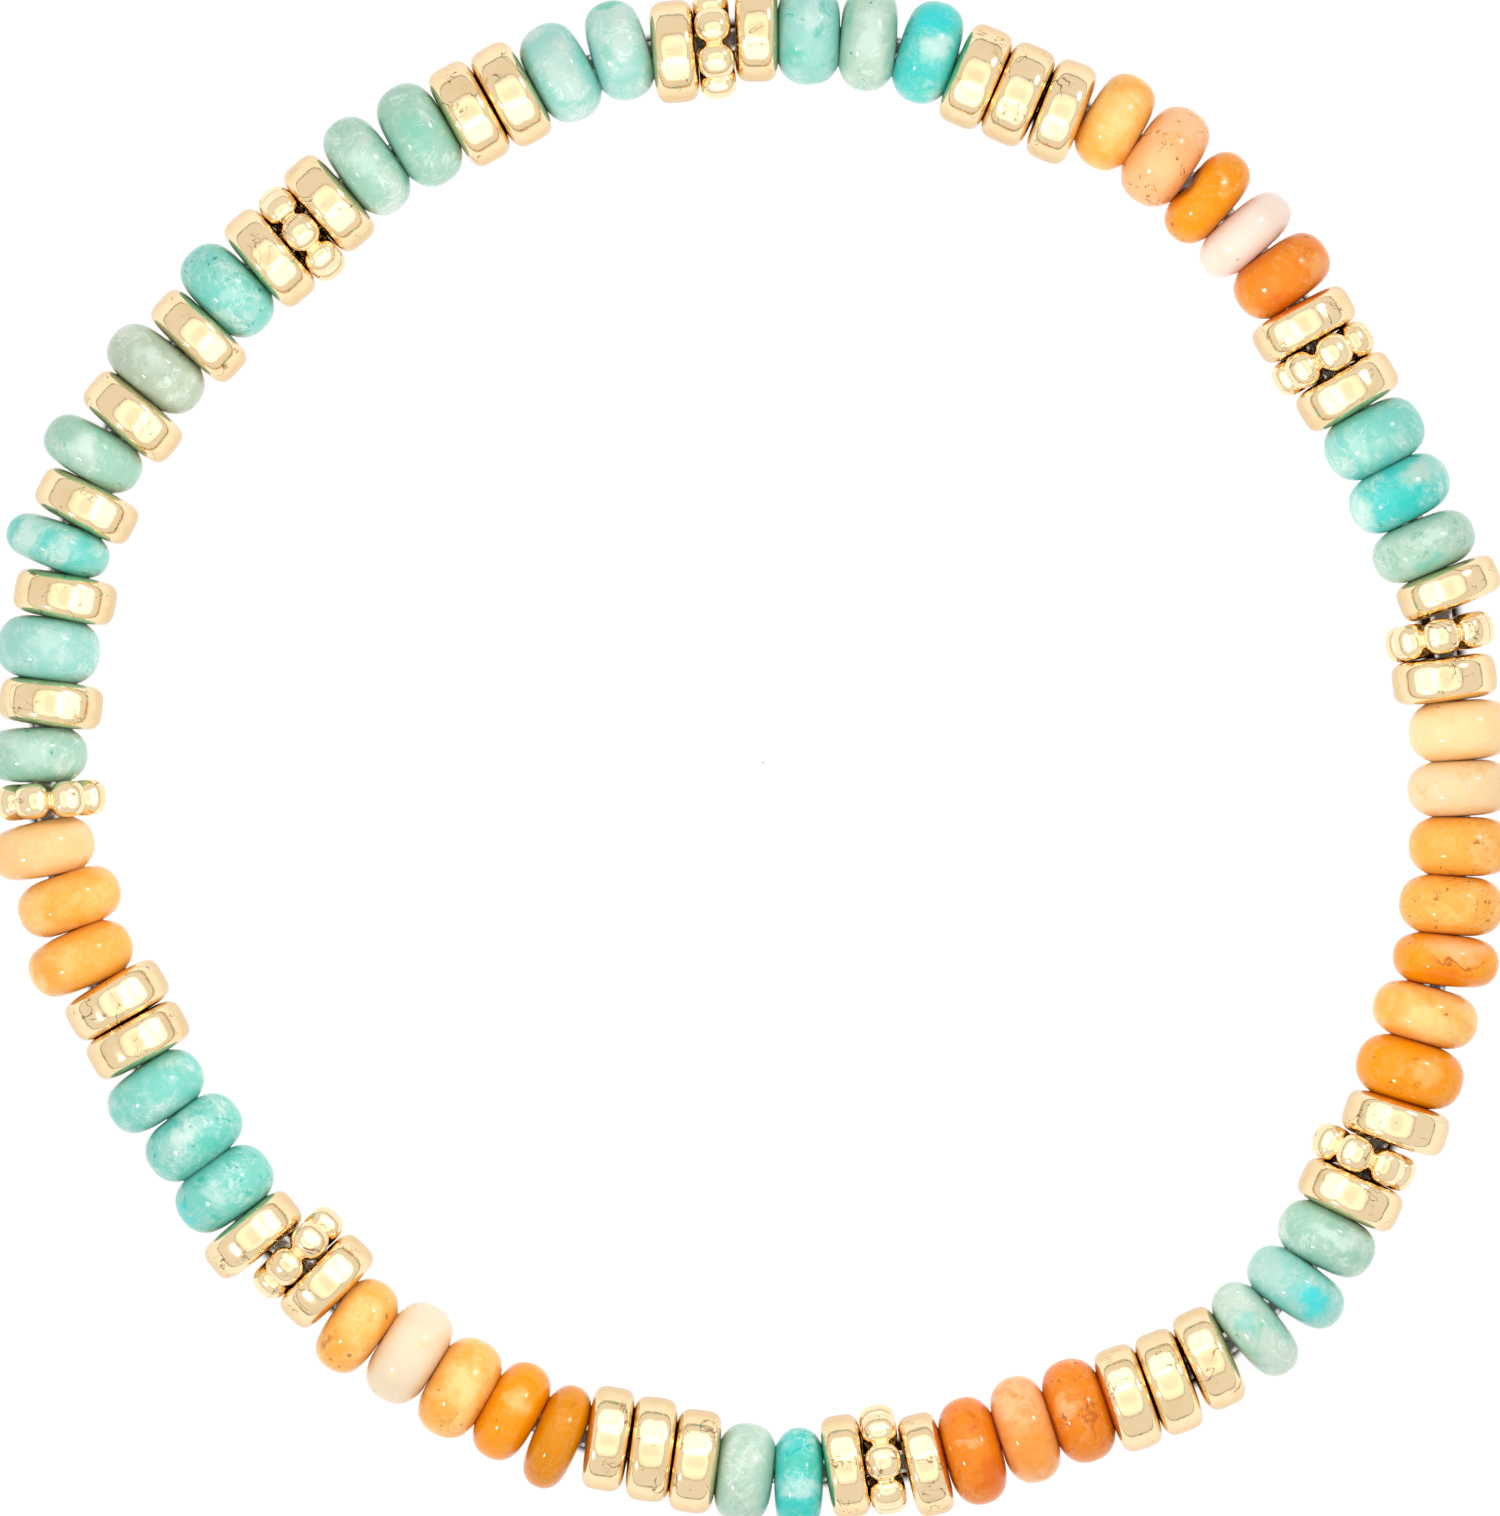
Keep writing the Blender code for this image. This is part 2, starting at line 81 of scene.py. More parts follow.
# How finely the pieces are drawn: points round each bead and steps over its rim, points round a granule and
# steps over it on the way round the daisy, and points round the cord and steps along it and the table for
# each bead
BEAD_POINTS = 72
STONE_RIM_STEPS = 41
DISC_RIM_STEPS = 37
GRANULE_POINTS = 28
GRANULE_STEPS = 32
CORD_POINTS = 16
CORD_STEPS = 8
TABLE_STEPS = 4

# The photograph's frame, laid over the beads' middles
FRAME_HEIGHT = 60.64 * MM
CAMERA_DISTANCE = 0.6
SENSOR = 36.0

# The route of the loop, seen from above: a slightly uneven oval, clockwise from the top
ROUTE_MM = [
    (-3.2, 28.4),
    (7.9, 28.0),
    (17.7, 22.7),
    (24.5, 14.0),
    (28.0, 3.4),
    (27.8, -7.8),
    (23.8, -18.1),
    (15.5, -25.5),
    (4.8, -28.4),
    (-6.2, -27.3),
    (-16.0, -22.1),
    (-23.4, -13.7),
    (-27.8, -3.5),
    (-27.5, 7.6),
    (-22.1, 17.3),
    (-13.6, 24.4),
]

# Each tint has a main colour, a deeper one for veins and a paler one for clouds, from 0 to 255
Tint = namedtuple("Tint", "cool main deep pale")
TINTS = {
    "aqua": Tint(True, (118, 196, 184), (52, 172, 156), (174, 208, 198)),
    "pale_aqua": Tint(True, (146, 200, 190), (76, 180, 168), (188, 210, 202)),
    "turquoise": Tint(True, (80, 196, 188), (20, 176, 168), (160, 208, 198)),
    "mint": Tint(True, (150, 192, 172), (96, 174, 150), (190, 208, 194)),
    "sage": Tint(True, (166, 196, 178), (108, 170, 144), (196, 210, 196)),
    "grey_sage": Tint(True, (172, 186, 164), (118, 156, 130), (198, 206, 188)),
    "honey": Tint(False, (235, 167, 70), (224, 138, 28), (238, 190, 110)),
    "pale_honey": Tint(False, (236, 192, 132), (230, 168, 84), (238, 206, 154)),
    "cream": Tint(False, (232, 200, 154), (228, 182, 120), (226, 208, 182)),
    "milk_pink": Tint(False, (230, 210, 196), (226, 196, 178), (232, 216, 204)),
    "peach": Tint(False, (236, 176, 118), (226, 146, 74), (236, 188, 142)),
    "amber": Tint(False, (233, 145, 0), (214, 118, 0), (236, 166, 40)),
    "orange": Tint(False, (224, 126, 18), (202, 92, 0), (230, 148, 54)),
    "dark_amber": Tint(False, (212, 132, 0), (192, 104, 0), (222, 148, 0)),
}
GOLD = (251, 226, 182)
PALE_GOLD = (253, 230, 188)
GOLD_SHADE = (242, 210, 160)
# Painted shade on the gold's lower sides and, darker still, on its undersides
GOLD_PAINTED_FLANK_SHADE = (226, 192, 140)
GOLD_PAINTED_UNDERSIDE_SHADE = (206, 170, 120)
# Dark lines of painted reflection on the gold, as the studio's seams mirrored in it
GOLD_PAINTED_REFLECTION_LINE = (120, 84, 44)
CORD_MILKY = (238, 242, 238)
CORD_CLEAR = (250, 252, 250)
TEAL_SPECK = (20, 120, 105)
BROWN_SPECK = (150, 82, 22)

# The beads in their order on the cord, with the columns that the solids have
Bead = namedtuple("Bead", "kind tint wide tall out lean turn")
STRAND = [
    Bead("disc", "gold", 1.02, 0.98, -0.05, 4, 0),
    Bead("daisy", "gold", 1.00, 1.00, -0.03, 0, 26),
    Bead("disc", "gold", 0.98, 1.00, 0.08, 2, 0),
    Bead("stone", "pale_aqua", 1.08, 0.99, 0.04, -1, 0),
    Bead("stone", "sage", 0.98, 1.00, 0.03, -2, 0),
    Bead("stone", "turquoise", 1.01, 0.99, 0.00, 4, 0),
    Bead("disc", "gold", 1.06, 1.00, -0.10, 4, 0),
    Bead("disc", "gold", 1.07, 0.99, -0.11, 0, 0),
    Bead("disc", "gold", 1.01, 1.00, -0.08, -6, 0),
    Bead("stone", "honey", 1.00, 0.96, 0.09, -2, 0),
    Bead("stone", "peach", 1.08, 1.01, 0.08, -2, 0),
    Bead("stone", "amber", 0.90, 0.99, 0.03, -1, 0),
    Bead("stone", "milk_pink", 0.84, 1.01, 0.03, 2, 0),
    Bead("stone", "orange", 1.02, 0.99, 0.04, 3, 0),
    Bead("disc", "gold", 0.97, 1.01, -0.07, 6, 0),
    Bead("daisy", "gold", 1.00, 1.00, -0.08, 3, -13),
    Bead("disc", "gold", 1.02, 1.00, -0.06, -1, 0),
    Bead("stone", "aqua", 1.09, 0.99, -0.04, -2, 0),
    Bead("stone", "turquoise", 1.02, 1.01, -0.03, -6, 0),
    Bead("stone", "sage", 0.95, 1.00, 0.02, -5, 0),
    Bead("disc", "gold", 0.93, 1.00, 0.14, -7, 0),
    Bead("daisy", "gold", 1.00, 1.00, -0.04, 0, 0),
    Bead("disc", "gold", 1.01, 1.00, -0.07, 1, 0),
    Bead("stone", "pale_honey", 1.04, 0.99, 0.03, 0, 0),
    Bead("stone", "cream", 0.96, 1.00, 0.00, -2, 0),
    Bead("stone", "honey", 1.02, 0.99, 0.02, -2, 0),
    Bead("stone", "honey", 1.02, 0.99, -0.02, -3, 0),
    Bead("stone", "amber", 0.89, 1.02, 0.01, -5, 0),
    Bead("stone", "honey", 0.98, 1.01, -0.06, 1, 0),
    Bead("stone", "amber", 1.08, 1.03, -0.04, -2, 0),
    Bead("disc", "gold", 1.03, 1.02, 0.01, -6, 0),
    Bead("daisy", "gold", 1.00, 1.00, -0.13, -4, 13),
    Bead("disc", "gold", 1.00, 1.01, -0.05, -8, 0),
    Bead("stone", "mint", 0.99, 0.96, 0.01, -11, 0),
    Bead("stone", "pale_aqua", 0.93, 1.01, 0.09, -9, 0),
    Bead("stone", "mint", 0.89, 1.03, 0.11, 1, 0),
    Bead("disc", "gold", 1.01, 0.99, 0.06, 12, 0),
    Bead("disc", "gold", 1.00, 1.01, 0.03, 12, 0),
    Bead("disc", "gold", 1.02, 1.02, -0.03, 8, 0),
    Bead("stone", "orange", 1.02, 1.01, -0.11, 3, 0),
    Bead("stone", "peach", 0.97, 1.04, -0.10, -1, 0),
    Bead("stone", "orange", 0.98, 1.03, -0.03, -3, 0),
    Bead("disc", "gold", 0.92, 0.99, 0.02, -5, 0),
    Bead("daisy", "gold", 1.00, 1.00, -0.07, -3, 0),
    Bead("disc", "gold", 0.92, 0.99, -0.04, -6, 0),
    Bead("stone", "turquoise", 0.84, 0.98, 0.08, 0, 0),
    Bead("stone", "sage", 0.98, 0.96, 0.04, 2, 0),
    Bead("disc", "gold", 1.04, 0.99, -0.02, -1, 0),
    Bead("disc", "gold", 1.02, 1.00, -0.06, -5, 0),
    Bead("disc", "gold", 0.98, 1.00, -0.06, -7, 0),
    Bead("stone", "dark_amber", 0.81, 1.03, 0.07, 3, 0),
    Bead("stone", "amber", 0.93, 0.99, 0.01, 5, 0),
    Bead("stone", "honey", 1.06, 1.00, 0.03, 1, 0),
    Bead("stone", "cream", 1.06, 1.02, -0.01, -1, 0),
    Bead("stone", "honey", 0.96, 0.97, 0.07, -2, 0),
    Bead("disc", "gold", 1.01, 1.00, -0.08, 3, 0),
    Bead("daisy", "gold", 1.00, 1.00, -0.09, -1, 26),
    Bead("disc", "gold", 0.99, 1.00, 0.10, 3, 0),
    Bead("stone", "aqua", 1.07, 0.99, 0.02, 3, 0),
    Bead("stone", "aqua", 1.04, 1.00, -0.04, -2, 0),
    Bead("stone", "aqua", 1.00, 0.98, 0.02, -2, 0),
    Bead("disc", "gold", 1.03, 1.00, -0.08, 0, 0),
    Bead("disc", "gold", 1.04, 1.01, -0.08, -4, 0),
    Bead("stone", "honey", 1.00, 1.02, 0.07, -1, 0),
    Bead("stone", "honey", 0.98, 1.00, -0.01, -2, 0),
    Bead("stone", "pale_honey", 0.96, 0.99, 0.11, 0, 0),
    Bead("daisy", "gold", 1.00, 1.00, -0.04, 3, 26),
    Bead("stone", "mint", 0.95, 0.98, 0.07, 2, 0),
    Bead("disc", "gold", 1.03, 0.99, -0.08, 6, 0),
    Bead("stone", "pale_aqua", 1.10, 0.99, -0.02, 1, 0),
    Bead("disc", "gold", 1.03, 0.98, -0.10, -1, 0),
    Bead("stone", "aqua", 0.82, 1.02, 0.09, 2, 0),
    Bead("disc", "gold", 1.02, 1.00, -0.03, 4, 0),
    Bead("stone", "mint", 0.93, 1.00, 0.13, 2, 0),
    Bead("disc", "gold", 1.05, 1.02, -0.02, 8, 0),
    Bead("stone", "grey_sage", 1.02, 1.03, 0.05, 3, 0),
    Bead("disc", "gold", 1.01, 1.01, -0.08, 4, 0),
    Bead("stone", "aqua", 1.05, 1.01, 0.00, 2, 0),
    Bead("disc", "gold", 1.01, 1.02, -0.06, 2, 0),
    Bead("daisy", "gold", 1.00, 1.00, -0.08, -1, 0),
    Bead("disc", "gold", 1.03, 1.00, -0.02, -4, 0),
    Bead("stone", "mint", 0.99, 1.03, 0.06, -3, 0),
    Bead("stone", "mint", 1.06, 1.03, 0.05, -1, 0),
    Bead("disc", "gold", 1.06, 1.02, 0.01, -3, 0),
    Bead("disc", "gold", 1.05, 1.02, 0.01, -6, 0),
    Bead("stone", "pale_aqua", 1.05, 0.98, 0.03, -8, 0),
    Bead("stone", "pale_aqua", 1.00, 0.96, 0.07, -2, 0),
]

# A patch of another colour in a stone: where its middle lies outwards and along the cord, how far it
# reaches each way, in millimetres, and how strong it is
Patch = namedtuple("Patch", "colour out along tall wide strength")
WHITE_QUARTZ = (206, 226, 218)
GREY_QUARTZ = (186, 204, 194)
BRIGHT_CYAN = (24, 206, 206)
STRONG_TEAL = (10, 188, 180)
GREEN_TEAL = (72, 186, 162)
PALE_HONEY = (242, 212, 146)
PALE_PEACH = (238, 190, 134)
WARM_AMBER = (232, 146, 50)
DEEP_ORANGE = (214, 96, 0)
RUST = (168, 78, 12)

PATCH_DEPTH = 1.4
PATCH_CORE = 0.35
PATCH_EDGE = 1.45
PATCH_STRENGTH = 0.85
# Thin pale streaks in the cool and the warm stones, and how strongly painted shade deepens a stone's colour
# at its sides
STREAK = {True: (214, 232, 226), False: (246, 220, 172)}
FLANK_PAINTED_SHADE = 0.4

# A hollow worn into a stone's earlier side: where it lies outwards and up, how wide it is and how deep
Chip = namedtuple("Chip", "out up size depth")
CHIPPED = {12: Chip(-0.2 * MM, 1.2 * MM, 0.85 * MM, 0.26 * MM)}

# What each stone shows, by its number on the cord: the share of pale clouds and of deep veins, how many
# specks it has, and its patches
Look = namedtuple("Look", "pale deep specks patches")
LOOKS = {
    4: Look(0.3, 0.7, 0.1, [
        Patch(WHITE_QUARTZ, 0.5, 0.1, 0.7, 0.5, 0.5),
        Patch(GREEN_TEAL, -0.9, -0.8, 0.5, 0.4, 0.8),
    ]),
    5: Look(0.4, 0.2, 0.3, [
        Patch(WHITE_QUARTZ, 0.3, 0.1, 1.2, 0.5, 0.7),
        Patch(GREEN_TEAL, 1.0, -0.9, 0.8, 0.3, 0.5),
    ]),
    6: Look(0.2, 0.4, 0.2, [
        Patch(BRIGHT_CYAN, 1.3, -0.2, 0.9, 1.1, 0.9),
        Patch(WHITE_QUARTZ, 0.2, 0.3, 0.7, 0.6, 0.8),
        Patch(STRONG_TEAL, -1.1, -0.2, 0.6, 0.8, 0.5),
        Patch(WHITE_QUARTZ, -1.7, 0.7, 0.4, 0.5, 0.6),
    ]),
    10: Look(0.8, 0.2, 0.1, [Patch(PALE_HONEY, 0.4, 0.1, 1.0, 0.4, 0.7)]),
    11: Look(0.5, 0.2, 1.1, [Patch(PALE_PEACH, -0.4, 0.1, 0.7, 0.8, 0.8)]),
    12: Look(0.2, 0.5, 0.5, [Patch(PALE_HONEY, 0.8, 0.2, 0.3, 0.3, 0.5)]),
    13: Look(0.5, 0.2, 0.1, []),
    14: Look(0.5, 0.3, 0.4, [
        Patch(DEEP_ORANGE, -0.8, 0.9, 1.1, 0.4, 0.8),
        Patch(PALE_PEACH, 1.3, 0.5, 0.5, 0.5, 0.4),
    ]),
    18: Look(0.5, 0.2, 0.1, [Patch(WHITE_QUARTZ, -0.8, 0.0, 0.4, 0.7, 0.5)]),
    19: Look(0.6, 0.4, 0.4, [
        Patch(GREY_QUARTZ, 1.1, -0.5, 0.9, 0.6, 0.9),
        Patch(STRONG_TEAL, 0.2, 0.4, 1.1, 0.5, 0.7),
        Patch(WHITE_QUARTZ, -1.8, 0.0, 0.5, 0.8, 0.6),
    ]),
    20: Look(0.2, 0.7, 0.1, [
        Patch(WHITE_QUARTZ, 0.4, -0.3, 0.9, 0.2, 0.6),
        Patch(GREEN_TEAL, 0.0, 0.7, 0.7, 0.4, 0.6),
    ]),
    24: Look(1.2, 0.1, 0.2, []),
    25: Look(0.4, 0.7, 0.0, []),
    26: Look(0.3, 0.5, 0.5, [Patch(PALE_PEACH, 0.9, 0.0, 0.5, 0.5, 0.5)]),
    27: Look(0.4, 0.5, 0.7, []),
    28: Look(0.2, 0.5, 0.4, [
        Patch(PALE_PEACH, 0.5, -0.6, 1.4, 0.6, 0.9),
        Patch(DEEP_ORANGE, -0.2, 0.6, 1.2, 0.4, 0.6),
        Patch(RUST, 0.45, 0.1, 0.95, 0.07, 0.9),
    ]),
    29: Look(0.8, 0.2, 0.2, [Patch(PALE_HONEY, 0.2, 0.3, 1.0, 0.6, 0.6)]),
    30: Look(0.1, 0.6, 0.4, [Patch(PALE_HONEY, 0.6, -0.3, 0.5, 0.6, 0.35)]),
    34: Look(0.6, 0.2, 0.1, [Patch(WHITE_QUARTZ, 0.3, -0.2, 1.0, 0.3, 0.8)]),
    35: Look(0.3, 0.5, 0.1, [
        Patch(BRIGHT_CYAN, 0.9, 0.0, 0.9, 0.6, 1.0),
        Patch(GREY_QUARTZ, -1.5, 0.1, 0.7, 0.8, 0.6),
    ]),
    36: Look(1.1, 0.0, 0.1, [
        Patch(GREEN_TEAL, 0.5, -0.6, 0.7, 0.3, 0.5),
        Patch(STRONG_TEAL, -0.4, 0.1, 0.6, 0.4, 0.5),
    ]),
    40: Look(0.2, 0.6, 0.8, [
        Patch(RUST, 0.3, -0.4, 0.9, 0.1, 0.7),
        Patch(PALE_PEACH, -0.4, 0.4, 0.4, 0.4, 0.7),
    ]),
    41: Look(0.1, 1.0, 0.2, [Patch(WARM_AMBER, 0.9, 0.0, 1.5, 1.6, 0.9)]),
    42: Look(0.1, 0.7, 0.2, [
        Patch(DEEP_ORANGE, 1.2, -0.5, 0.9, 0.6, 0.8),
        Patch(PALE_PEACH, -0.4, 0.1, 0.2, 0.6, 0.5),
    ]),
    46: Look(0.2, 0.8, 0.3, [
        Patch(GREY_QUARTZ, 1.9, 0.0, 0.4, 1.4, 0.7),
        Patch(STRONG_TEAL, 1.1, 0.0, 0.4, 1.4, 0.6),
        Patch(WHITE_QUARTZ, 0.2, 0.0, 0.3, 1.4, 0.65),
        Patch(GREEN_TEAL, -0.7, 0.0, 0.4, 1.4, 0.8),
    ]),
    47: Look(0.5, 0.2, 0.4, []),
    51: Look(0.0, 0.6, 0.0, []),
    52: Look(0.2, 0.4, 0.3, [Patch(PALE_HONEY, -0.6, 0.0, 0.5, 0.5, 0.5)]),
    53: Look(0.7, 0.2, 0.5, [Patch(PALE_HONEY, -0.3, 0.0, 0.9, 0.7, 0.7)]),
    54: Look(1.3, 0.0, 0.0, []),
    55: Look(0.7, 0.2, 0.4, [Patch(RUST, 1.2, 0.6, 0.6, 0.08, 0.6)]),
    59: Look(0.3, 0.7, 0.1, [
        Patch(BRIGHT_CYAN, 1.8, 0.0, 0.4, 0.6, 0.5),
        Patch(WHITE_QUARTZ, 0.5, 0.0, 0.4, 0.5, 0.5),
    ]),
    60: Look(0.5, 0.7, 0.5, [
        Patch(WHITE_QUARTZ, 0.3, 0.3, 0.6, 0.4, 0.7),
        Patch(GREEN_TEAL, -0.6, -0.6, 0.8, 0.3, 0.7),
    ]),
    61: Look(0.6, 0.2, 0.1, []),
    64: Look(0.4, 0.4, 0.2, [Patch(PALE_HONEY, 2.1, 0.0, 0.4, 1.0, 0.7)]),
    65: Look(0.8, 0.2, 0.3, []),
    66: Look(0.5, 0.3, 0.1, []),
    68: Look(0.5, 0.3, 0.1, [Patch(WHITE_QUARTZ, 0.2, 0.0, 0.7, 0.6, 0.5)]),
    70: Look(0.4, 0.3, 0.1, [Patch(WHITE_QUARTZ, 0.0, 0.3, 0.7, 0.6, 0.5)]),
    72: Look(0.6, 0.2, 0.3, [
        Patch(STRONG_TEAL, 1.9, 0.0, 0.25, 1.2, 0.7),
        Patch(WHITE_QUARTZ, 1.2, 0.0, 0.35, 1.2, 0.8),
        Patch(STRONG_TEAL, 0.3, 0.2, 0.4, 0.5, 0.45),
        Patch(STRONG_TEAL, -0.9, 0.0, 0.4, 1.2, 0.5),
    ]),
    74: Look(0.6, 0.2, 0.1, [Patch(WHITE_QUARTZ, 0.4, 0.2, 0.5, 0.7, 0.8)]),
    76: Look(0.5, 0.4, 0.2, [Patch(WHITE_QUARTZ, 0.5, 0.2, 0.8, 0.4, 0.6)]),
    78: Look(0.4, 0.7, 0.8, [Patch(WHITE_QUARTZ, -0.4, 0.1, 0.3, 0.4, 0.4)]),
    82: Look(0.5, 0.3, 0.1, [Patch(WHITE_QUARTZ, 0.1, 0.1, 0.7, 0.6, 0.6)]),
    83: Look(0.4, 0.3, 0.1, [Patch(GREEN_TEAL, 0.0, 0.0, 0.9, 0.6, 0.35)]),
    86: Look(0.6, 0.1, 0.0, [Patch(GREY_QUARTZ, 0.2, 0.2, 1.2, 0.6, 0.6)]),
    87: Look(0.7, 0.2, 0.1, [
        Patch(GREEN_TEAL, 1.9, -0.1, 0.4, 0.8, 0.9),
        Patch(GREEN_TEAL, -0.2, -0.4, 0.4, 0.3, 0.6),
    ]),
}

# The studio's lamps, with the brightness that a white mirror of each would show: three that give each stone
# its glints, a soft and a bright one to the right and a bright one to the left, and one low over the middle
# of the loop, which lights the inner side of every bead
Lamp = namedtuple("Lamp", "name azimuth elevation distance size brightness")
LAMPS = [
    Lamp("soft_lamp_right", 40, 38, 1.00, 0.34, 3),
    Lamp("bright_lamp_right", 40, 38, 0.95, 0.11, 32),
    Lamp("bright_lamp_left", 220, 38, 0.95, 0.13, 42),
    Lamp("lamp_over_middle", 0, 90, 0.022, 0.046, 0.85),
]
# The table lies a little below the beads. Within a distance of their middles it doesn't glow and is dark
# brown, a painted shadow with a painted warm bounce from the gold; from there to a wider one it takes their
# shadows. Beyond, it is plain white.
TABLE_GAP = 0.02 * MM
PAINTED_SHADOW_REACH = {"stone": 0.5 * MM, "disc": 0.8 * MM, "daisy": 0.8 * MM}
SHADOW_REACH = 3.6 * MM
PLAIN_REACH = 4.6 * MM
PAINTED_SHADOW_TABLE = (0.06, 0.03, 0.01, 1)
TABLE_TOP = (0.2, 0.2, 0.2, 1)
TABLE_GLOW = (0.79, 0.79, 0.79, 1)
TABLE_BRIGHTNESS = 1.12
STUDIO_WHITE = (1.0, 0.98, 0.95, 1)
ROOF = 1.35
ROOF_MIDDLE = 1.15
WALLS = 0.88
SKIRTING = 0.06

# Worked out from the sizes above
DAISY_RING_RADIUS = GRANULE_DIAMETER * GRANULE_SPACING_SHARE / (2 * sin(pi / GRANULES))
DAISY_DIAMETER = 2 * DAISY_RING_RADIUS + GRANULE_DIAMETER
THICKNESS = {"stone": STONE_THICKNESS, "disc": DISC_THICKNESS, "daisy": GRANULE_DIAMETER}
DIAMETER = {"stone": STONE_DIAMETER, "disc": DISC_DIAMETER, "daisy": DAISY_DIAMETER}
FACE_RADIUS = {
    "stone": STONE_DIAMETER / 2 * STONE_FACE_SHARE / cos(pi / BEAD_SIDES),
    "disc": (DISC_DIAMETER / 2 - DISC_CORNER) / cos(pi / DISC_SIDES),
    "daisy": DAISY_RING_RADIUS,
}

Place = namedtuple("Place", "number bead middle along outward thickness diameter")


def catmull_rom(a, b, c, d, t):
    """The point a share t of the way from b to c, on the smooth curve through a, b, c and d."""
    return 0.5 * (2 * b + (c - a) * t + (2 * a - 5 * b + 4 * c - d) * t**2 + (3 * b - a - 3 * c + d) * t**3)


def smooth_loop(points, steps):
    """Close points along the closed smooth curve through a few points, as one array with a row for each."""
    points = np.asarray(points, float)
    t = np.arange(steps)[None, :, None] / steps
    around = [np.roll(points, -k, axis=0)[:, None, :] for k in (-1, 0, 1, 2)]
    return catmull_rom(*around, t).reshape(-1, points.shape[1])


def closest(a, b, turn):
    """How near two neighbouring beads' middles come along the route, which turns clockwise by an angle
    there.

    Seen from above, the flat face of a bead is a straight line with two ends. The pair is clear once both
    ends of one bead's line are a gap beyond the other's line, whichever of the two lines is cleared first.
    """
    lean_a = radians(a.lean)
    lean_b = turn + radians(b.lean)
    normal_a = Vector((cos(lean_a), -sin(lean_a)))
    normal_b = Vector((cos(lean_b), -sin(lean_b)))
    step = Vector((cos(turn / 2), -sin(turn / 2)))
    shift_a = Vector((0, 1)) * DIAMETER[a.kind] * a.tall * a.out
    shift_b = Vector((sin(turn), cos(turn))) * DIAMETER[b.kind] * b.tall * b.out
    half_a = THICKNESS[a.kind] * a.wide / 2
    half_b = THICKNESS[b.kind] * b.wide / 2
    apart = shift_b - shift_a
    reach_b = abs(FACE_RADIUS[b.kind] * b.tall * sin(lean_b - lean_a))
    reach_a = abs(FACE_RADIUS[a.kind] * a.tall * sin(lean_b - lean_a))
    needed = half_a + half_b * normal_a.dot(normal_b) + BEAD_GAP + reach_b - apart.dot(normal_a)
    also_needed = half_b + half_a * normal_a.dot(normal_b) + BEAD_GAP + reach_a - apart.dot(normal_b)
    return min(needed / step.dot(normal_a), also_needed / step.dot(normal_b))


def pitches():
    """The distance along the route from each bead's middle to the next one's.

    The loop turns by 360 degrees over the strand, and each pair takes its share of that by thickness.
    """
    thickness = [THICKNESS[bead.kind] * bead.wide for bead in STRAND]
    result = []
    for i, bead in enumerate(STRAND):
        j = (i + 1) % len(STRAND)
        turn = pi * (thickness[i] + thickness[j]) / sum(thickness)
        result.append(closest(bead, STRAND[j], turn))
    return result


def lowest(bead):
    """How far the bead reaches down from its middle."""
    if bead.kind != "daisy":
        return DIAMETER[bead.kind] * bead.tall / 2
    step = 2 * pi / GRANULES
    from_bottom = (pi + radians(bead.turn)) % step
    nearest = min(from_bottom, step - from_bottom)
    return DAISY_RING_RADIUS * cos(nearest) + GRANULE_DIAMETER / 2


def strung():
    """Each bead's place, and where the photograph's middle lies: the beads follow the route one by one."""
    loop = smooth_loop(ROUTE_MM, ROUTE_STEPS) * MM
    steps = np.array(pitches())
    edges = np.roll(loop, -1, axis=0) - loop
    length = np.linalg.norm(edges, axis=1)
    scale = steps.sum() / length.sum()
    reached = np.concatenate([[0], np.cumsum(length)]) * scale
    travelled = FIRST_BEAD + np.concatenate([[0], np.cumsum(steps)[:-1]])
    corner = np.searchsorted(reached, travelled) - 1
    along = edges[corner] / length[corner][:, None]
    outward = np.stack([-along[:, 1], along[:, 0]], axis=1)
    across = np.array([DIAMETER[bead.kind] * bead.tall for bead in STRAND])
    offset = across * np.array([bead.out for bead in STRAND])
    middle = loop[corner] * scale + along * (travelled - reached[corner])[:, None]
    middle += outward * offset[:, None]
    low = (middle - across[:, None] / 2).min(axis=0)
    high = (middle + across[:, None] / 2).max(axis=0)
    shift = (low + high) / 2
    places = []
    for i, bead in enumerate(STRAND):
        leaning = Matrix.Rotation(-radians(bead.lean), 2) @ Vector(along[i])
        places.append(
            Place(
                i + 1,
                bead,
                np.array([*(middle[i] - shift), lowest(bead)]),
                np.array([leaning.x, leaning.y, 0]),
                np.array([-leaning.y, leaning.x, 0]),
                THICKNESS[bead.kind] * bead.wide,
                across[i],
            )
        )
    return places, -shift


def cord_points(places):
    """A point of the cord in each bead: the bead's middle, eased towards its neighbours' middles."""
    points = np.array([place.middle for place in places])
    for _ in range(CORD_EASINGS):
        points = (np.roll(points, 1, axis=0) + 2 * points + np.roll(points, -1, axis=0)) / 4
    return points


def linear(colour):
    """A colour from 0 to 255 as the shader's own red, green, blue and alpha."""
    share = np.array(colour) / 255
    bent = np.where(share <= 0.04045, share / 12.92, ((share + 0.055) / 1.055) ** 2.4)
    return (*bent.tolist(), 1.0)


class Number:
    """A number that changes over a surface. Its sums, differences and products add Math nodes."""

    def __init__(self, finish, socket):
        self.finish = finish
        self.socket = socket

    def __add__(self, other):
        return self.finish.maths("ADD", self, other)

    def __sub__(self, other):
        return self.finish.maths("SUBTRACT", self, other)

    def __mul__(self, other):
        return self.finish.maths("MULTIPLY", self, other)

    def __rsub__(self, other):
        return self.finish.maths("SUBTRACT", other, self)

    __radd__ = __add__
    __rmul__ = __mul__


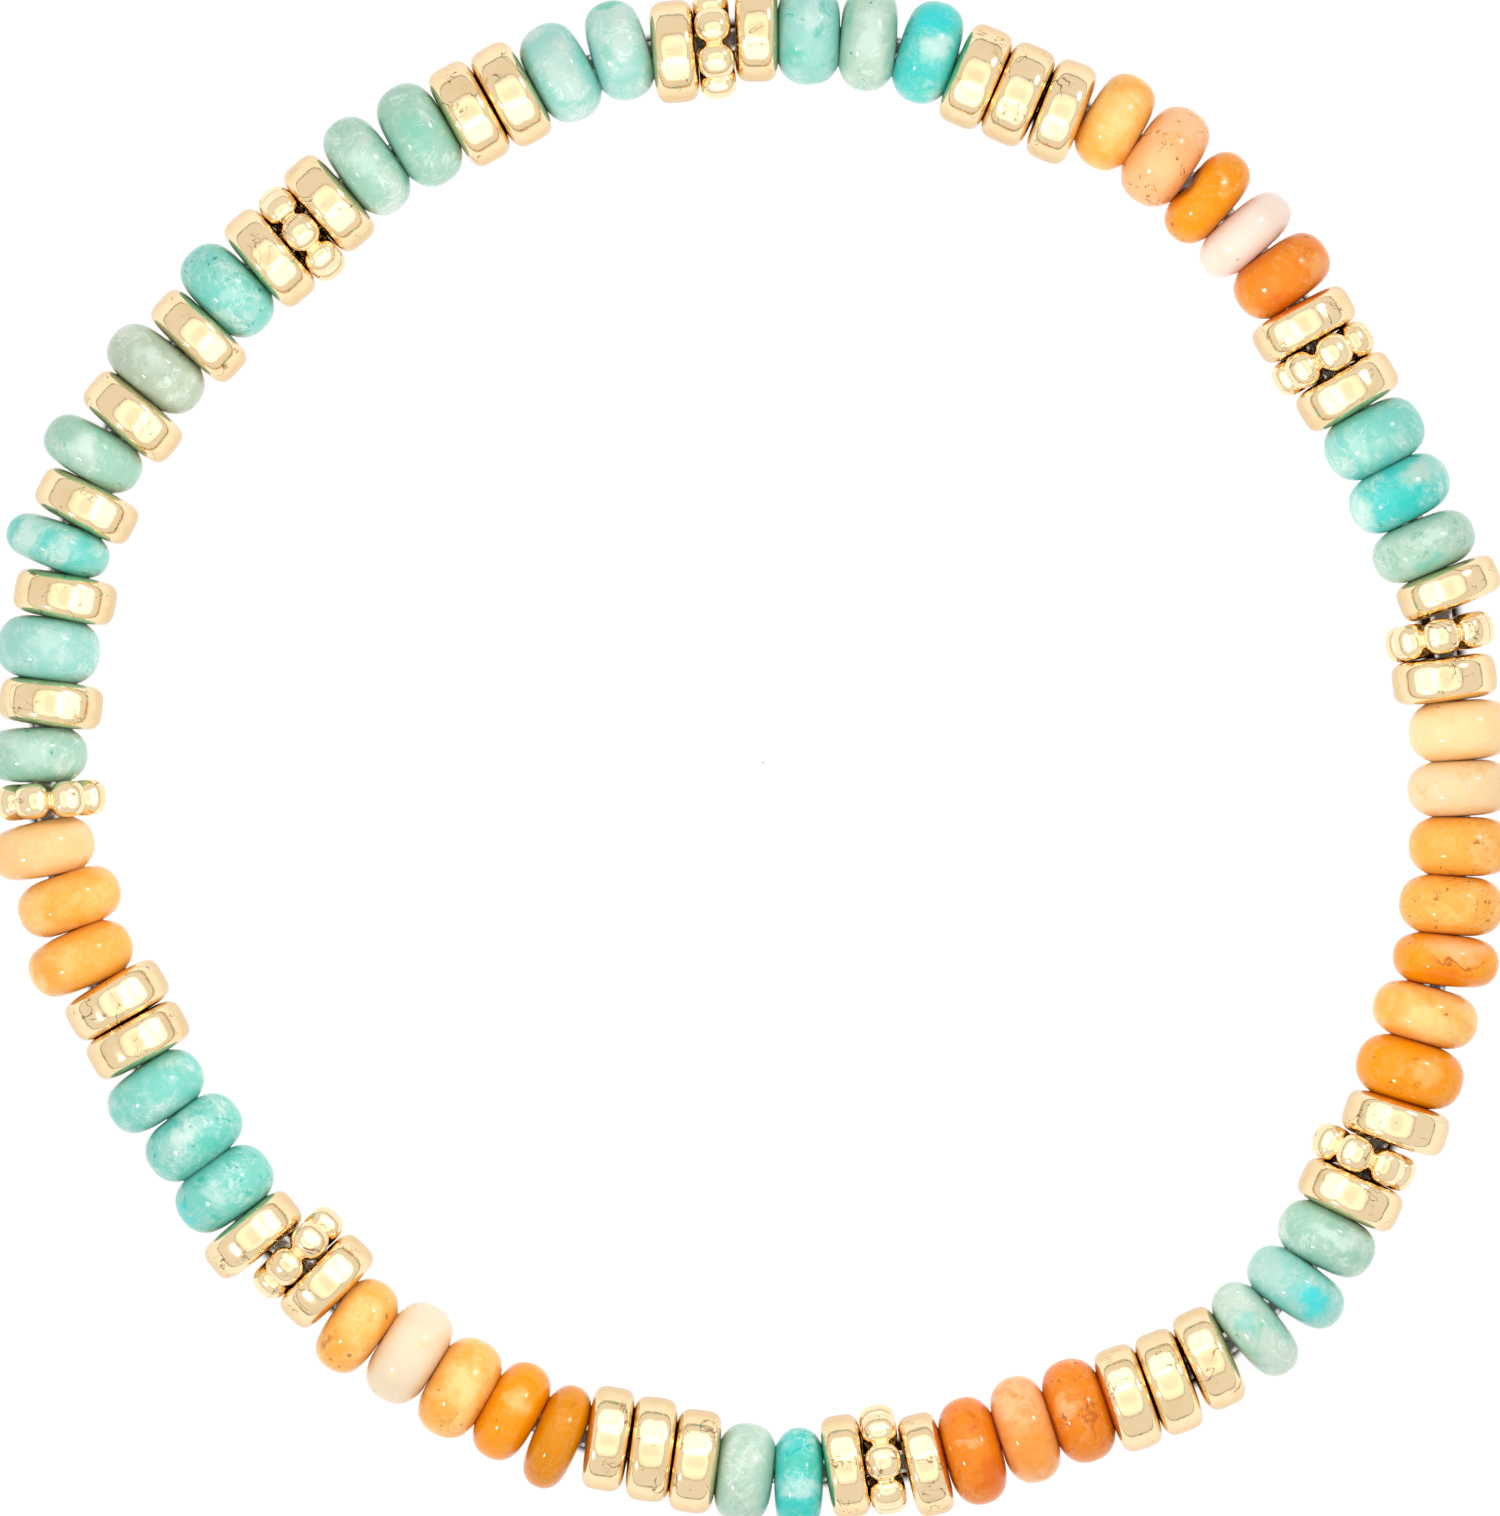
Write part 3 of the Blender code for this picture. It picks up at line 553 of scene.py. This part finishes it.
class Finish:
    """The nodes of a material or of the world, made by one method that every other one calls."""

    def __init__(self, tree):
        self.tree = tree

    def add(self, kind, settings=(), inputs=()):
        """A node of a kind: its settings are made first, and then its sockets are given values or links."""
        node = self.tree.nodes.new(kind)
        for key, value in dict(settings).items():
            setattr(node, key, value)
        for key, value in dict(inputs).items():
            self.join(value, node.inputs[key])
        return node

    def join(self, value, socket):
        """Links a number or a socket to a socket, or gives it a plain value."""
        if isinstance(value, Number):
            value = value.socket
        if isinstance(value, bpy.types.NodeSocket):
            self.tree.links.new(value, socket)
        else:
            socket.default_value = value

    def maths(self, operation, first, second=0.0):
        """A Math node's result."""
        node = self.add("ShaderNodeMath", {"operation": operation}, {0: first, 1: second})
        return Number(self, node.outputs[0])

    def smooth(self, value, low, high):
        """0 where the value is at low or beyond it, 1 at high, and a soft step between them."""
        settings = {"interpolation_type": "SMOOTHSTEP"}
        node = self.add("ShaderNodeMapRange", settings, {"Value": value, "From Min": low, "From Max": high})
        return Number(self, node.outputs[0])

    def blend(self, share, first, second):
        """The first colour where the share is 0, and the second where it is 1."""
        node = self.add("ShaderNodeMix", {"data_type": "RGBA"}, {0: share, 6: first, 7: second})
        return node.outputs[2]

    def noise(self, where, scale, detail=2.0, roughness=0.5, warp=0.0):
        """Cloudy noise from 0 to 1 at a place."""
        inputs = {"Vector": where, "Scale": scale, "Detail": detail}
        inputs |= {"Roughness": roughness, "Distortion": warp}
        return Number(self, self.add("ShaderNodeTexNoise", (), inputs).outputs[0])

    def vector_maths(self, operation, first, second):
        """A Vector Math node's vector."""
        node = self.add("ShaderNodeVectorMath", {"operation": operation}, {0: first, 1: second})
        return node.outputs[0]


def new_material(name):
    """A material with its finish and its shader."""
    material = bpy.data.materials.new(name)
    material.use_nodes = True
    return material, Finish(material.node_tree), material.node_tree.nodes["Principled BSDF"]


def own_frame(finish, place):
    """The place on a bead in millimetres along the cord, outwards and up from its middle."""
    turn = -atan2(place.along[1], place.along[0])
    back = Matrix.Rotation(turn, 3, "Z") @ Vector(-place.middle)
    seen = finish.add("ShaderNodeTexCoord").outputs["Object"]
    inputs = {"Vector": seen, "Location": back / MM, "Rotation": (0, 0, turn), "Scale": (1 / MM,) * 3}
    return finish.add("ShaderNodeMapping", {"vector_type": "POINT"}, inputs).outputs[0]


def patch_mask(finish, where, warp, patch, reach):
    """1 in the middle of a patch, falling softly to 0 at its edge, measured in the patch's own sizes."""
    height = max(reach**2 - patch.out**2, 0) ** 0.5
    middle = (patch.along, patch.out, height)
    size = (patch.wide, patch.tall, PATCH_DEPTH)
    moved = finish.vector_maths("SUBTRACT", finish.vector_maths("ADD", where, warp), middle)
    scaled = finish.vector_maths("DIVIDE", moved, size)
    length = finish.add("ShaderNodeVectorMath", {"operation": "LENGTH"}, {0: scaled}).outputs["Value"]
    return finish.smooth(Number(finish, length), PATCH_EDGE, PATCH_CORE) * patch.strength * PATCH_STRENGTH


def cloudy_colour(finish, tint, look, shifted):
    """The stone's main colour with pale clouds, deep veins, a fine mottle and thin pale streaks.

    Each comes in where its own noise passes a level, which is lower the larger its share is. A streak runs
    where a noise is at its middle value, inside the clouds.
    """
    clouds = finish.noise(shifted, 0.55, 7.0, 0.6, 0.6)
    cloudy = finish.smooth(clouds, 0.62 - 0.3 * look.pale, 0.85 - 0.3 * look.pale)
    colour = finish.blend(cloudy, linear(tint.main), linear(tint.pale))
    veins = finish.noise(shifted, 1.1, 8.0, 0.65, 1.2)
    veined = finish.smooth(veins, 0.70 - 0.25 * look.deep, 0.86 - 0.25 * look.deep)
    colour = finish.blend(veined * 0.85, colour, linear(tint.deep))
    mottle = finish.smooth(finish.noise(shifted, 2.2, 5.0, 0.65, 0.5), 0.48, 0.68)
    mottled = 0.5 if tint.cool else 0.2 + 0.4 * look.pale
    colour = finish.blend(mottle * mottled, colour, linear(tint.pale))
    ridge = finish.maths("ABSOLUTE", finish.noise(shifted, 0.9, 4.0, 0.6, 1.0) - 0.5)
    streak = finish.smooth(ridge, 0.03, 0.004) * finish.smooth(clouds, 0.4, 0.6)
    streaked = 0.25 + 0.55 * look.pale if tint.cool else 0.08 + 0.3 * look.pale
    return finish.blend(streak * streaked, colour, linear(STREAK[tint.cool]))


def specks_and_cracks(finish, look, shifted, bent):
    """1 on a stone's dark specks and fine cracks.

    A speck is the middle of a cell of a warped cell pattern, kept by the cell's own chance, mostly where a
    cloudy noise groups them. A crack runs where a noise is at its middle value, in the same groups.
    """
    cells = finish.add("ShaderNodeTexVoronoi", (), {"Vector": bent, "Scale": 2.6})
    chance = finish.add("ShaderNodeSeparateColor", (), {0: cells.outputs["Color"]}).outputs[0]
    groups = finish.noise(shifted, 0.7, 2.0)
    dots = finish.smooth(Number(finish, cells.outputs["Distance"]), 0.32, 0.08)
    level = 1.18 - 0.3 * look.specks
    chosen = finish.smooth(Number(finish, chance) * 0.6 + groups, level, level + 0.06)
    line = finish.maths("ABSOLUTE", finish.noise(bent, 0.8, 3.0, 0.5, 0.8) - 0.5)
    level = 0.62 - 0.15 * look.specks
    cracks = finish.smooth(line, 0.012, 0.002) * finish.smooth(groups, level, level + 0.1)
    return finish.maths("MAXIMUM", dots * chosen, cracks * look.specks)


def stone_finish(place):
    """Polished cloudy stone with painted shade deepening its colour at its sides, with patches and specks
    and a slightly uneven polish.
    """
    tint = TINTS[place.bead.tint]
    look = LOOKS[place.number]
    material, finish, shader = new_material(f"{place.bead.tint}_stone_{place.number:02d}")
    where = own_frame(finish, place)
    shifted = finish.vector_maths("ADD", where, (7.3 * place.number, 3.1 * place.number, 0))
    wander = finish.add("ShaderNodeTexNoise", (), {"Vector": shifted, "Scale": 1.5, "Detail": 5.0})
    warp = finish.vector_maths("SUBTRACT", wander.outputs["Color"], (0.5, 0.5, 0.5))
    warp = finish.vector_maths("MULTIPLY", warp, (1.6, 1.6, 1.6))
    colour = cloudy_colour(finish, tint, look, shifted)
    for patch in look.patches:
        mask = patch_mask(finish, where, warp, patch, place.diameter / MM / 2)
        colour = finish.blend(mask, colour, linear(patch.colour))
    half = place.thickness / MM / 2
    along = Number(finish, finish.add("ShaderNodeSeparateXYZ", (), {0: where}).outputs["X"])
    # Painted shade: the colour turns towards the deep tint at the sides along the cord, where the stone
    # meets its neighbours
    painted_flank_shade = finish.smooth(finish.maths("ABSOLUTE", along), 0.45 * half, half)
    colour = finish.blend(painted_flank_shade * FLANK_PAINTED_SHADE, colour, linear(tint.deep))
    bent = finish.vector_maths("ADD", shifted, finish.vector_maths("MULTIPLY", warp, (0.35, 0.6, 0.5)))
    marks = specks_and_cracks(finish, look, shifted, bent)
    colour = finish.blend(marks * 0.8, colour, linear(TEAL_SPECK if tint.cool else BROWN_SPECK))
    finish.join(colour, shader.inputs["Base Color"])
    finish.join(0.03 + finish.noise(shifted, 2.5, 2.0) * 0.10, shader.inputs["Roughness"])
    uneven = finish.noise(shifted, 1.6, 2.0)
    bump = finish.add("ShaderNodeBump", (), {"Strength": 0.12, "Distance": 0.05 * MM, "Height": uneven})
    finish.join(bump.outputs[0], shader.inputs["Normal"])
    shader.inputs["Subsurface Weight"].default_value = 0.25
    shader.inputs["Subsurface Radius"].default_value = (0.9, 1.0, 1.0) if tint.cool else (1.0, 0.9, 0.8)
    shader.inputs["Subsurface Scale"].default_value = 0.5 * MM
    shader.inputs["Specular IOR Level"].default_value = 0.3
    return material


def gold_finish(name, plate, painted_shade_below):
    """Polished pale gold plating with cloudy tarnish, thin dark lines of painted reflection, painted shade
    on its low sides and polish ripples.
    """
    material, finish, shader = new_material(name)
    seen = finish.add("ShaderNodeTexCoord").outputs["Object"]
    where = finish.vector_maths("MULTIPLY", seen, (1 / MM,) * 3)
    tarnish = finish.smooth(finish.noise(where, 0.8, 4.0), 0.45, 0.75)
    colour = finish.blend(tarnish * 0.6, linear(plate), linear(GOLD_SHADE))
    height = Number(finish, finish.add("ShaderNodeSeparateXYZ", (), {0: where}).outputs["Z"])
    # Painted reflection: thin dark wandering lines, as of the studio's seams mirrored in the gold, shown
    # where a second noise allows
    painted_reflection_line = finish.maths("ABSOLUTE", finish.noise(where, 0.45, 3.0, 0.6, 1.5) - 0.5)
    shown = finish.smooth(finish.noise(where, 0.9, 2.0), 0.5, 0.6)
    colour = finish.blend(finish.smooth(painted_reflection_line, 0.012, 0.003) * shown * 0.75, colour, linear(GOLD_PAINTED_REFLECTION_LINE))
    # Painted shade: the gold turns to the flank colour towards the bottom, and to the darker underside
    # colour below that
    uneven = height + (finish.noise(where, 2.5, 2.0) - 0.5) * 0.4
    colour = finish.blend(finish.smooth(uneven, painted_shade_below + 0.9, painted_shade_below), colour, linear(GOLD_PAINTED_FLANK_SHADE))
    painted_underside_shade = finish.smooth(uneven, painted_shade_below, painted_shade_below - 0.3)
    colour = finish.blend(painted_underside_shade, colour, linear(GOLD_PAINTED_UNDERSIDE_SHADE))
    finish.join(colour, shader.inputs["Base Color"])
    finish.join(0.06 + finish.noise(where, 3.0, 3.0) * 0.1, shader.inputs["Roughness"])
    ripples = finish.noise(where, 1.4, 2.0) + finish.noise(where, 5.0, 2.0) * 0.2
    bump = finish.add("ShaderNodeBump", (), {"Strength": 0.4, "Distance": 0.03 * MM, "Height": ripples})
    finish.join(bump.outputs[0], shader.inputs["Normal"])
    shader.inputs["Metallic"].default_value = 1.0
    return material


def cord_finish():
    """Clear elastic, a little cloudy, with fine streaks."""
    material, finish, shader = new_material("clear_elastic")
    seen = finish.add("ShaderNodeTexCoord").outputs["Object"]
    where = finish.vector_maths("MULTIPLY", seen, (1 / MM,) * 3)
    streaks = finish.noise(where, 4.0, 2.0)
    finish.join(finish.blend(streaks, linear(CORD_MILKY), linear(CORD_CLEAR)), shader.inputs["Base Color"])
    finish.join(0.15 + streaks * 0.15, shader.inputs["Roughness"])
    shader.inputs["Transmission Weight"].default_value = 0.85
    shader.inputs["IOR"].default_value = 1.42
    return material


def placed(place, points):
    """Points in a bead's own frame, moved to where the bead lies."""
    axes = np.stack([place.along, place.outward, np.array([0, 0, 1.0])])
    return points @ axes + place.middle


def ring_surface(name, rings, material):
    """A closed surface whose rows of points are rings: each joins the next, and the last joins the first.

    Face (i, j) has the corners (i, j), (i + 1, j), (i + 1, j + 1) and (i, j + 1), with both counts going
    round.
    """
    rows, columns = rings.shape[:2]
    i, j = np.meshgrid(np.arange(rows), np.arange(columns), indexing="ij")
    below = (i + 1) % rows
    beside = (j + 1) % columns
    corners = [i * columns + j, below * columns + j, below * columns + beside, i * columns + beside]
    mesh = bpy.data.meshes.new(name)
    mesh.from_pydata(rings.reshape(-1, 3), [], np.stack(corners, axis=-1).reshape(-1, 4))
    mesh.shade_smooth()
    mesh.materials.append(material)
    piece = bpy.data.objects.new(name, mesh)
    bpy.context.scene.collection.objects.link(piece)
    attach(piece, "root")
    return piece


def bore_shift(place, thread, s):
    """How far the cord's line stands off the bead's axis, outwards and up, at distances s along the axis."""
    before, here, after = thread
    run = after - before
    run = run / (run @ place.along)
    offset = here - place.middle
    start = offset - run * (offset @ place.along)
    line = start[None, :] + s[:, None] * run[None, :]
    return line @ place.outward, line[:, 2]


def bead_rings(place, thread, radius, s, bore, blend_to):
    """Rings of a drilled bead: at each step of its profile, a circle round the bead's axis.

    A ring of radius r at s along the cord has the points s, r sin(a) outwards and r cos(a) up. From the
    radius blend_to inwards, the rings move over until those of the bore run round the cord's own line.
    """
    a = np.linspace(0, 2 * pi, BEAD_POINTS, endpoint=False)
    share = np.clip((blend_to - radius) / (blend_to - bore), 0, 1)
    ease = share**2 * (3 - 2 * share)
    out_shift, up_shift = bore_shift(place, thread, s)
    out = radius[:, None] * np.sin(a)[None, :] + (ease * out_shift)[:, None]
    up = radius[:, None] * np.cos(a)[None, :] + (ease * up_shift)[:, None]
    return np.stack([np.broadcast_to(s[:, None], out.shape), out, up], axis=-1)


def rim_profile(half, bore, inner, outer, power, steps):
    """A drilled bead's closed profile, as radii and places along the cord.

    The outer side is half a superellipse from the face, at the inner radius, over the rim, at the outer
    one: with t from -90 to 90 degrees, the radius grows by cos(t) and the place by sin(t), each to the
    power 2 / power. The bore's wall closes it, with its mouth rounded off.
    """
    t = np.linspace(-pi / 2, pi / 2, steps)
    radius = inner + (outer - inner) * np.cos(t) ** (2 / power)
    s = half * np.sign(np.sin(t)) * np.abs(np.sin(t)) ** (2 / power)
    face = np.linspace(inner, bore * 1.12, 5)[1:]
    wall = np.linspace(0.93, -0.93, 5)
    radius = np.concatenate([radius, face, np.full(wall.size, bore), face[::-1]])
    s = np.concatenate([s, np.full(face.size, half), wall * half, np.full(face.size, -half)])
    return radius, s


def stone_piece(place, thread, name):
    """A polished rondelle with a full round rim, a little uneven all round as tumbled stones are.

    The unevenness turns each radius by 1 plus a few small waves round the stone, and leaves the bore true.
    """
    half = place.thickness / 2 * CROWNED
    outer = place.diameter / 2
    bore = CORD_DIAMETER / 2 + BORE_CLEARANCE
    radius, s = rim_profile(half, bore, bore * 1.2, outer, STONE_ROUNDNESS, STONE_RIM_STEPS)
    rings = bead_rings(place, thread, radius, s, bore, 0.8 * outer)
    draw = np.random.default_rng(place.number)
    size = draw.uniform(0.002, 0.006, 3)
    phase = draw.uniform(0, 2 * pi, 3)
    a = np.linspace(0, 2 * pi, BEAD_POINTS, endpoint=False)[None, :]
    waves = sum(size[k] * np.cos((k + 2) * a + phase[k] + s[:, None] / half) for k in range(3))
    rimward = np.clip((radius / outer - 0.5) * 2, 0, 1)[:, None]
    rings[..., 1:] *= (1 - (size.sum() - waves) * rimward)[..., None]
    if place.number in CHIPPED:
        chip = CHIPPED[place.number]
        off = (rings[..., 1] - chip.out) ** 2 + (rings[..., 2] - chip.up) ** 2
        side = np.clip(-rings[..., 0] / half, 0, 1)
        rings[..., 0] += chip.depth * np.exp(-off / chip.size**2) * side
    return ring_surface(name, placed(place, rings), stone_finish(place))


def disc_piece(place, thread, name, gold):
    """A plain wheel with flat sides and a softly crowned rim."""
    bore = CORD_DIAMETER / 2 + BORE_CLEARANCE / 2
    outer = place.diameter / 2
    half = place.thickness / 2 * CROWNED
    radius, s = rim_profile(half, bore, outer - DISC_CROWN, outer, DISC_ROUNDNESS, DISC_RIM_STEPS)
    rings = bead_rings(place, thread, radius, s, bore, 0.7 * outer)
    return ring_surface(name, placed(place, rings), gold)


def daisy_piece(place, thread, name, gold):
    """A ring of round granules with slightly flattened sides, as one skin.

    A plane through the axis at an angle d from the nearest granule's middle cuts that granule in a
    superellipse: its middle lies at the ring's radius times cos(d), and its reach and the ring's radius
    times sin(d), each to the power of the roundness, add up to the granule's own. The cut is kept from
    closing between two granules, its inner half is drawn in to the bore, and what would reach below the
    table lies flat on it.
    """
    granule = GRANULE_DIAMETER / 2
    bore = CORD_DIAMETER / 2 + BORE_CLEARANCE
    turn = np.linspace(0, 2 * pi, GRANULES * GRANULE_STEPS, endpoint=False)
    step = 2 * pi / GRANULES
    d = (turn + step / 2) % step - step / 2
    beside = np.abs(DAISY_RING_RADIUS * np.sin(d) / granule) ** GRANULE_ROUNDNESS
    cut = granule * np.maximum(np.maximum(1 - beside, 0) ** (1 / GRANULE_ROUNDNESS), NECK_SHARE)
    middle = DAISY_RING_RADIUS * np.cos(d)
    around = np.linspace(0, 2 * pi, GRANULE_POINTS, endpoint=False)
    outward = np.sign(np.cos(around)) * np.abs(np.cos(around)) ** (2 / GRANULE_ROUNDNESS)
    sideways = np.sign(np.sin(around)) * np.abs(np.sin(around)) ** (2 / GRANULE_ROUNDNESS)
    reach = np.where(outward[None, :] >= 0, cut[:, None], middle[:, None] - bore)
    radius = middle[:, None] + reach * outward[None, :]
    s = cut[:, None] * sideways[None, :] * CROWNED
    angle = (turn + radians(place.bead.turn))[:, None]
    share = np.clip((1.2 * bore - radius) / (0.2 * bore), 0, 1)
    out_shift, up_shift = bore_shift(place, thread, s.ravel())
    out = -radius * np.sin(angle) + share * out_shift.reshape(s.shape)
    up = radius * np.cos(angle) + share * up_shift.reshape(s.shape)
    rings = placed(place, np.stack([s, out, up], axis=-1))
    rings[..., 2] = np.maximum(rings[..., 2], 0)
    return ring_surface(name, rings, gold)


def cord_piece(points):
    """The elastic: a round tube along the closed smooth curve through the cord's points.

    Each ring lies square to the curve, at the cord's radius: cos(a) to its side and sin(a) upwards.
    """
    line = smooth_loop(points, CORD_STEPS)
    ahead = np.roll(line, -1, axis=0) - np.roll(line, 1, axis=0)
    ahead /= np.linalg.norm(ahead, axis=1)[:, None]
    side = np.cross(ahead, (0, 0, 1))
    side /= np.linalg.norm(side, axis=1)[:, None]
    up = np.cross(side, ahead)
    a = np.linspace(0, 2 * pi, CORD_POINTS, endpoint=False)[None, :, None]
    spoke = np.cos(a) * side[:, None, :] + np.sin(a) * up[:, None, :]
    rings = line[:, None, :] + CORD_DIAMETER / 2 * spoke
    return ring_surface("elastic_cord", rings, cord_finish())


def make_bracelet(places):
    """Every bead and the cord, each standing for the solid that it finishes."""
    points = cord_points(places)
    gold = {
        "disc": gold_finish("gold_of_discs", GOLD, DISC_PAINTED_SHADE_BELOW),
        "daisy": gold_finish("gold_of_daisies", PALE_GOLD, DAISY_PAINTED_SHADE_BELOW),
    }
    counts = {"aqua_stone": 0, "honey_stone": 0, "disc": 0, "daisy": 0}
    for i, place in enumerate(places):
        thread = (points[i - 1], points[i], points[(i + 1) % len(points)])
        kind = place.bead.kind
        if kind == "stone":
            word = "aqua_stone" if TINTS[place.bead.tint].cool else "honey_stone"
            counts[word] += 1
            node = f"{word}_{counts[word]:02d}"
            piece = stone_piece(place, thread, f"polished_{node}")
            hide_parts(node)
        else:
            counts[kind] += 1
            make = disc_piece if kind == "disc" else daisy_piece
            piece = make(place, thread, f"gold_{kind}_{counts[kind]:02d}", gold[kind])
            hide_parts("spacers_on_cord")
    cord = cord_piece(points)
    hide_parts("spacers_on_cord")


def make_camera(centre):
    """A long lens straight above the middle of the photograph, as high up as fills its frame."""
    data = bpy.data.cameras.new("camera")
    data.sensor_width = SENSOR
    data.lens = SENSOR * CAMERA_DISTANCE / FRAME_HEIGHT
    data.clip_start = 0.01
    data.clip_end = 20
    camera = bpy.data.objects.new("camera", data)
    bpy.context.scene.collection.objects.link(camera)
    camera.location = (*centre, CAMERA_DISTANCE + STONE_DIAMETER / 2)
    bpy.context.scene.camera = camera


def make_floor(places):
    """A plain white table top that glows, so that soft shadows only just show; under the beads it doesn't
    glow and is dark, a painted shadow.

    Its rows follow the beads' middles at a few distances outwards, and reach to the middle and far out.
    Each row is 0 where the table doesn't glow, 1 where it glows and takes shadows, and 2 where it is plain
    white.
    """
    middle = smooth_loop(cord_points(places), TABLE_STEPS) * (1, 1, 0) - (0, 0, TABLE_GAP)
    centre = middle.mean(axis=0)
    ahead = np.roll(middle, -1, axis=0) - middle
    ahead /= np.linalg.norm(ahead, axis=1)[:, None]
    outward = np.stack([-ahead[:, 1], ahead[:, 0], 0 * ahead[:, 0]], axis=1)
    reach = np.array([PAINTED_SHADOW_REACH[place.bead.kind] for place in places])[:, None]
    reach = smooth_loop(reach, TABLE_STEPS)
    half = [reach * 0.8, reach * 1.3, SHADOW_REACH, PLAIN_REACH]
    inside = [middle - outward * distance for distance in reversed(half)]
    outside = [middle + outward * distance for distance in half]
    rows = [centre + (middle - centre) * 0.001, *inside, *outside, centre + (middle - centre) * 40]
    mesh = bpy.data.meshes.new("table_top")
    i, j = np.meshgrid(np.arange(len(rows) - 1), np.arange(len(middle)), indexing="ij")
    beside = (j + 1) % len(middle)
    inner, outer = i * len(middle), (i + 1) * len(middle)
    corners = np.stack([inner + j, inner + beside, outer + beside, outer + j], axis=-1)
    mesh.from_pydata(np.concatenate(rows), [], corners.reshape(-1, 4))
    lit = mesh.attributes.new("lit", "FLOAT", "POINT")
    levels = [2.0, 2.0, 1.0, 1.0, 0.0, 0.0, 1.0, 1.0, 2.0, 2.0]
    lit.data.foreach_set("value", np.repeat(levels, len(middle)))
    material, finish, shader = new_material("white_table")
    row = finish.add("ShaderNodeAttribute", {"attribute_name": "lit"}).outputs["Fac"]
    glow = finish.smooth(row, 0, 1)
    plain = finish.smooth(row, 1, 2)
    emitted = finish.blend(plain, finish.blend(glow, (0, 0, 0, 1), TABLE_GLOW), (1, 1, 1, 1))
    finish.join(emitted, shader.inputs["Emission Color"])
    # Painted shadow: where the row is 0 the table is dark brown and doesn't glow
    base = finish.blend(plain, finish.blend(glow, PAINTED_SHADOW_TABLE, TABLE_TOP), (0, 0, 0, 1))
    finish.join(base, shader.inputs["Base Color"])
    shader.inputs["Roughness"].default_value = 0.8
    shader.inputs["Specular IOR Level"].default_value = 0
    shader.inputs["Emission Strength"].default_value = TABLE_BRIGHTNESS
    mesh.materials.append(material)
    floor = bpy.data.objects.new("table_top", mesh)
    bpy.context.scene.collection.objects.link(floor)


def make_world():
    """A white studio: a bright roof with a dim edge and dimmer middle, plain walls and a dark skirting."""
    world = bpy.data.worlds.new("studio")
    bpy.context.scene.world = world
    world.use_nodes = True
    finish = Finish(world.node_tree)
    seen = finish.add("ShaderNodeTexCoord").outputs["Generated"]
    height = Number(finish, finish.add("ShaderNodeSeparateXYZ", (), {0: seen}).outputs["Z"])
    level = height + (finish.noise(seen, 5.0, 3.0) - 0.5) * 0.06
    walls = SKIRTING + finish.smooth(height, 0.025, 0.05) * (WALLS - SKIRTING)
    roof = finish.smooth(level, 0.77, 0.90) * (ROOF - WALLS)
    middle = finish.smooth(level, 0.96, 0.995) * (ROOF - ROOF_MIDDLE)
    edge = finish.smooth(level, 0.76, 0.78) * finish.smooth(level, 0.81, 0.79) * (WALLS - SKIRTING) * 0.45
    shade = world.node_tree.nodes["Background"]
    finish.join(walls + roof - middle - edge, shade.inputs["Strength"])
    shade.inputs["Color"].default_value = STUDIO_WHITE


def make_light(lamp):
    """A round lamp that looks at the middle of the loop and that only its light and its reflection show."""
    data = bpy.data.lights.new(lamp.name, "AREA")
    data.shape = "DISK"
    data.size = lamp.size
    data.energy = lamp.brightness * pi * pi * lamp.size**2 / 4
    light = bpy.data.objects.new(lamp.name, data)
    bpy.context.scene.collection.objects.link(light)
    a, e = radians(lamp.azimuth), radians(lamp.elevation)
    light.location = Vector((cos(a) * cos(e), sin(a) * cos(e), sin(e))) * lamp.distance
    light.rotation_euler = light.location.to_track_quat("Z", "Y").to_euler()
    light.visible_camera = False


places, photo_middle = strung()
make_camera(photo_middle)
make_bracelet(places)
make_floor(places)
make_world()
for lamp in LAMPS:
    make_light(lamp)
bpy.context.scene.view_settings.view_transform = "Standard"
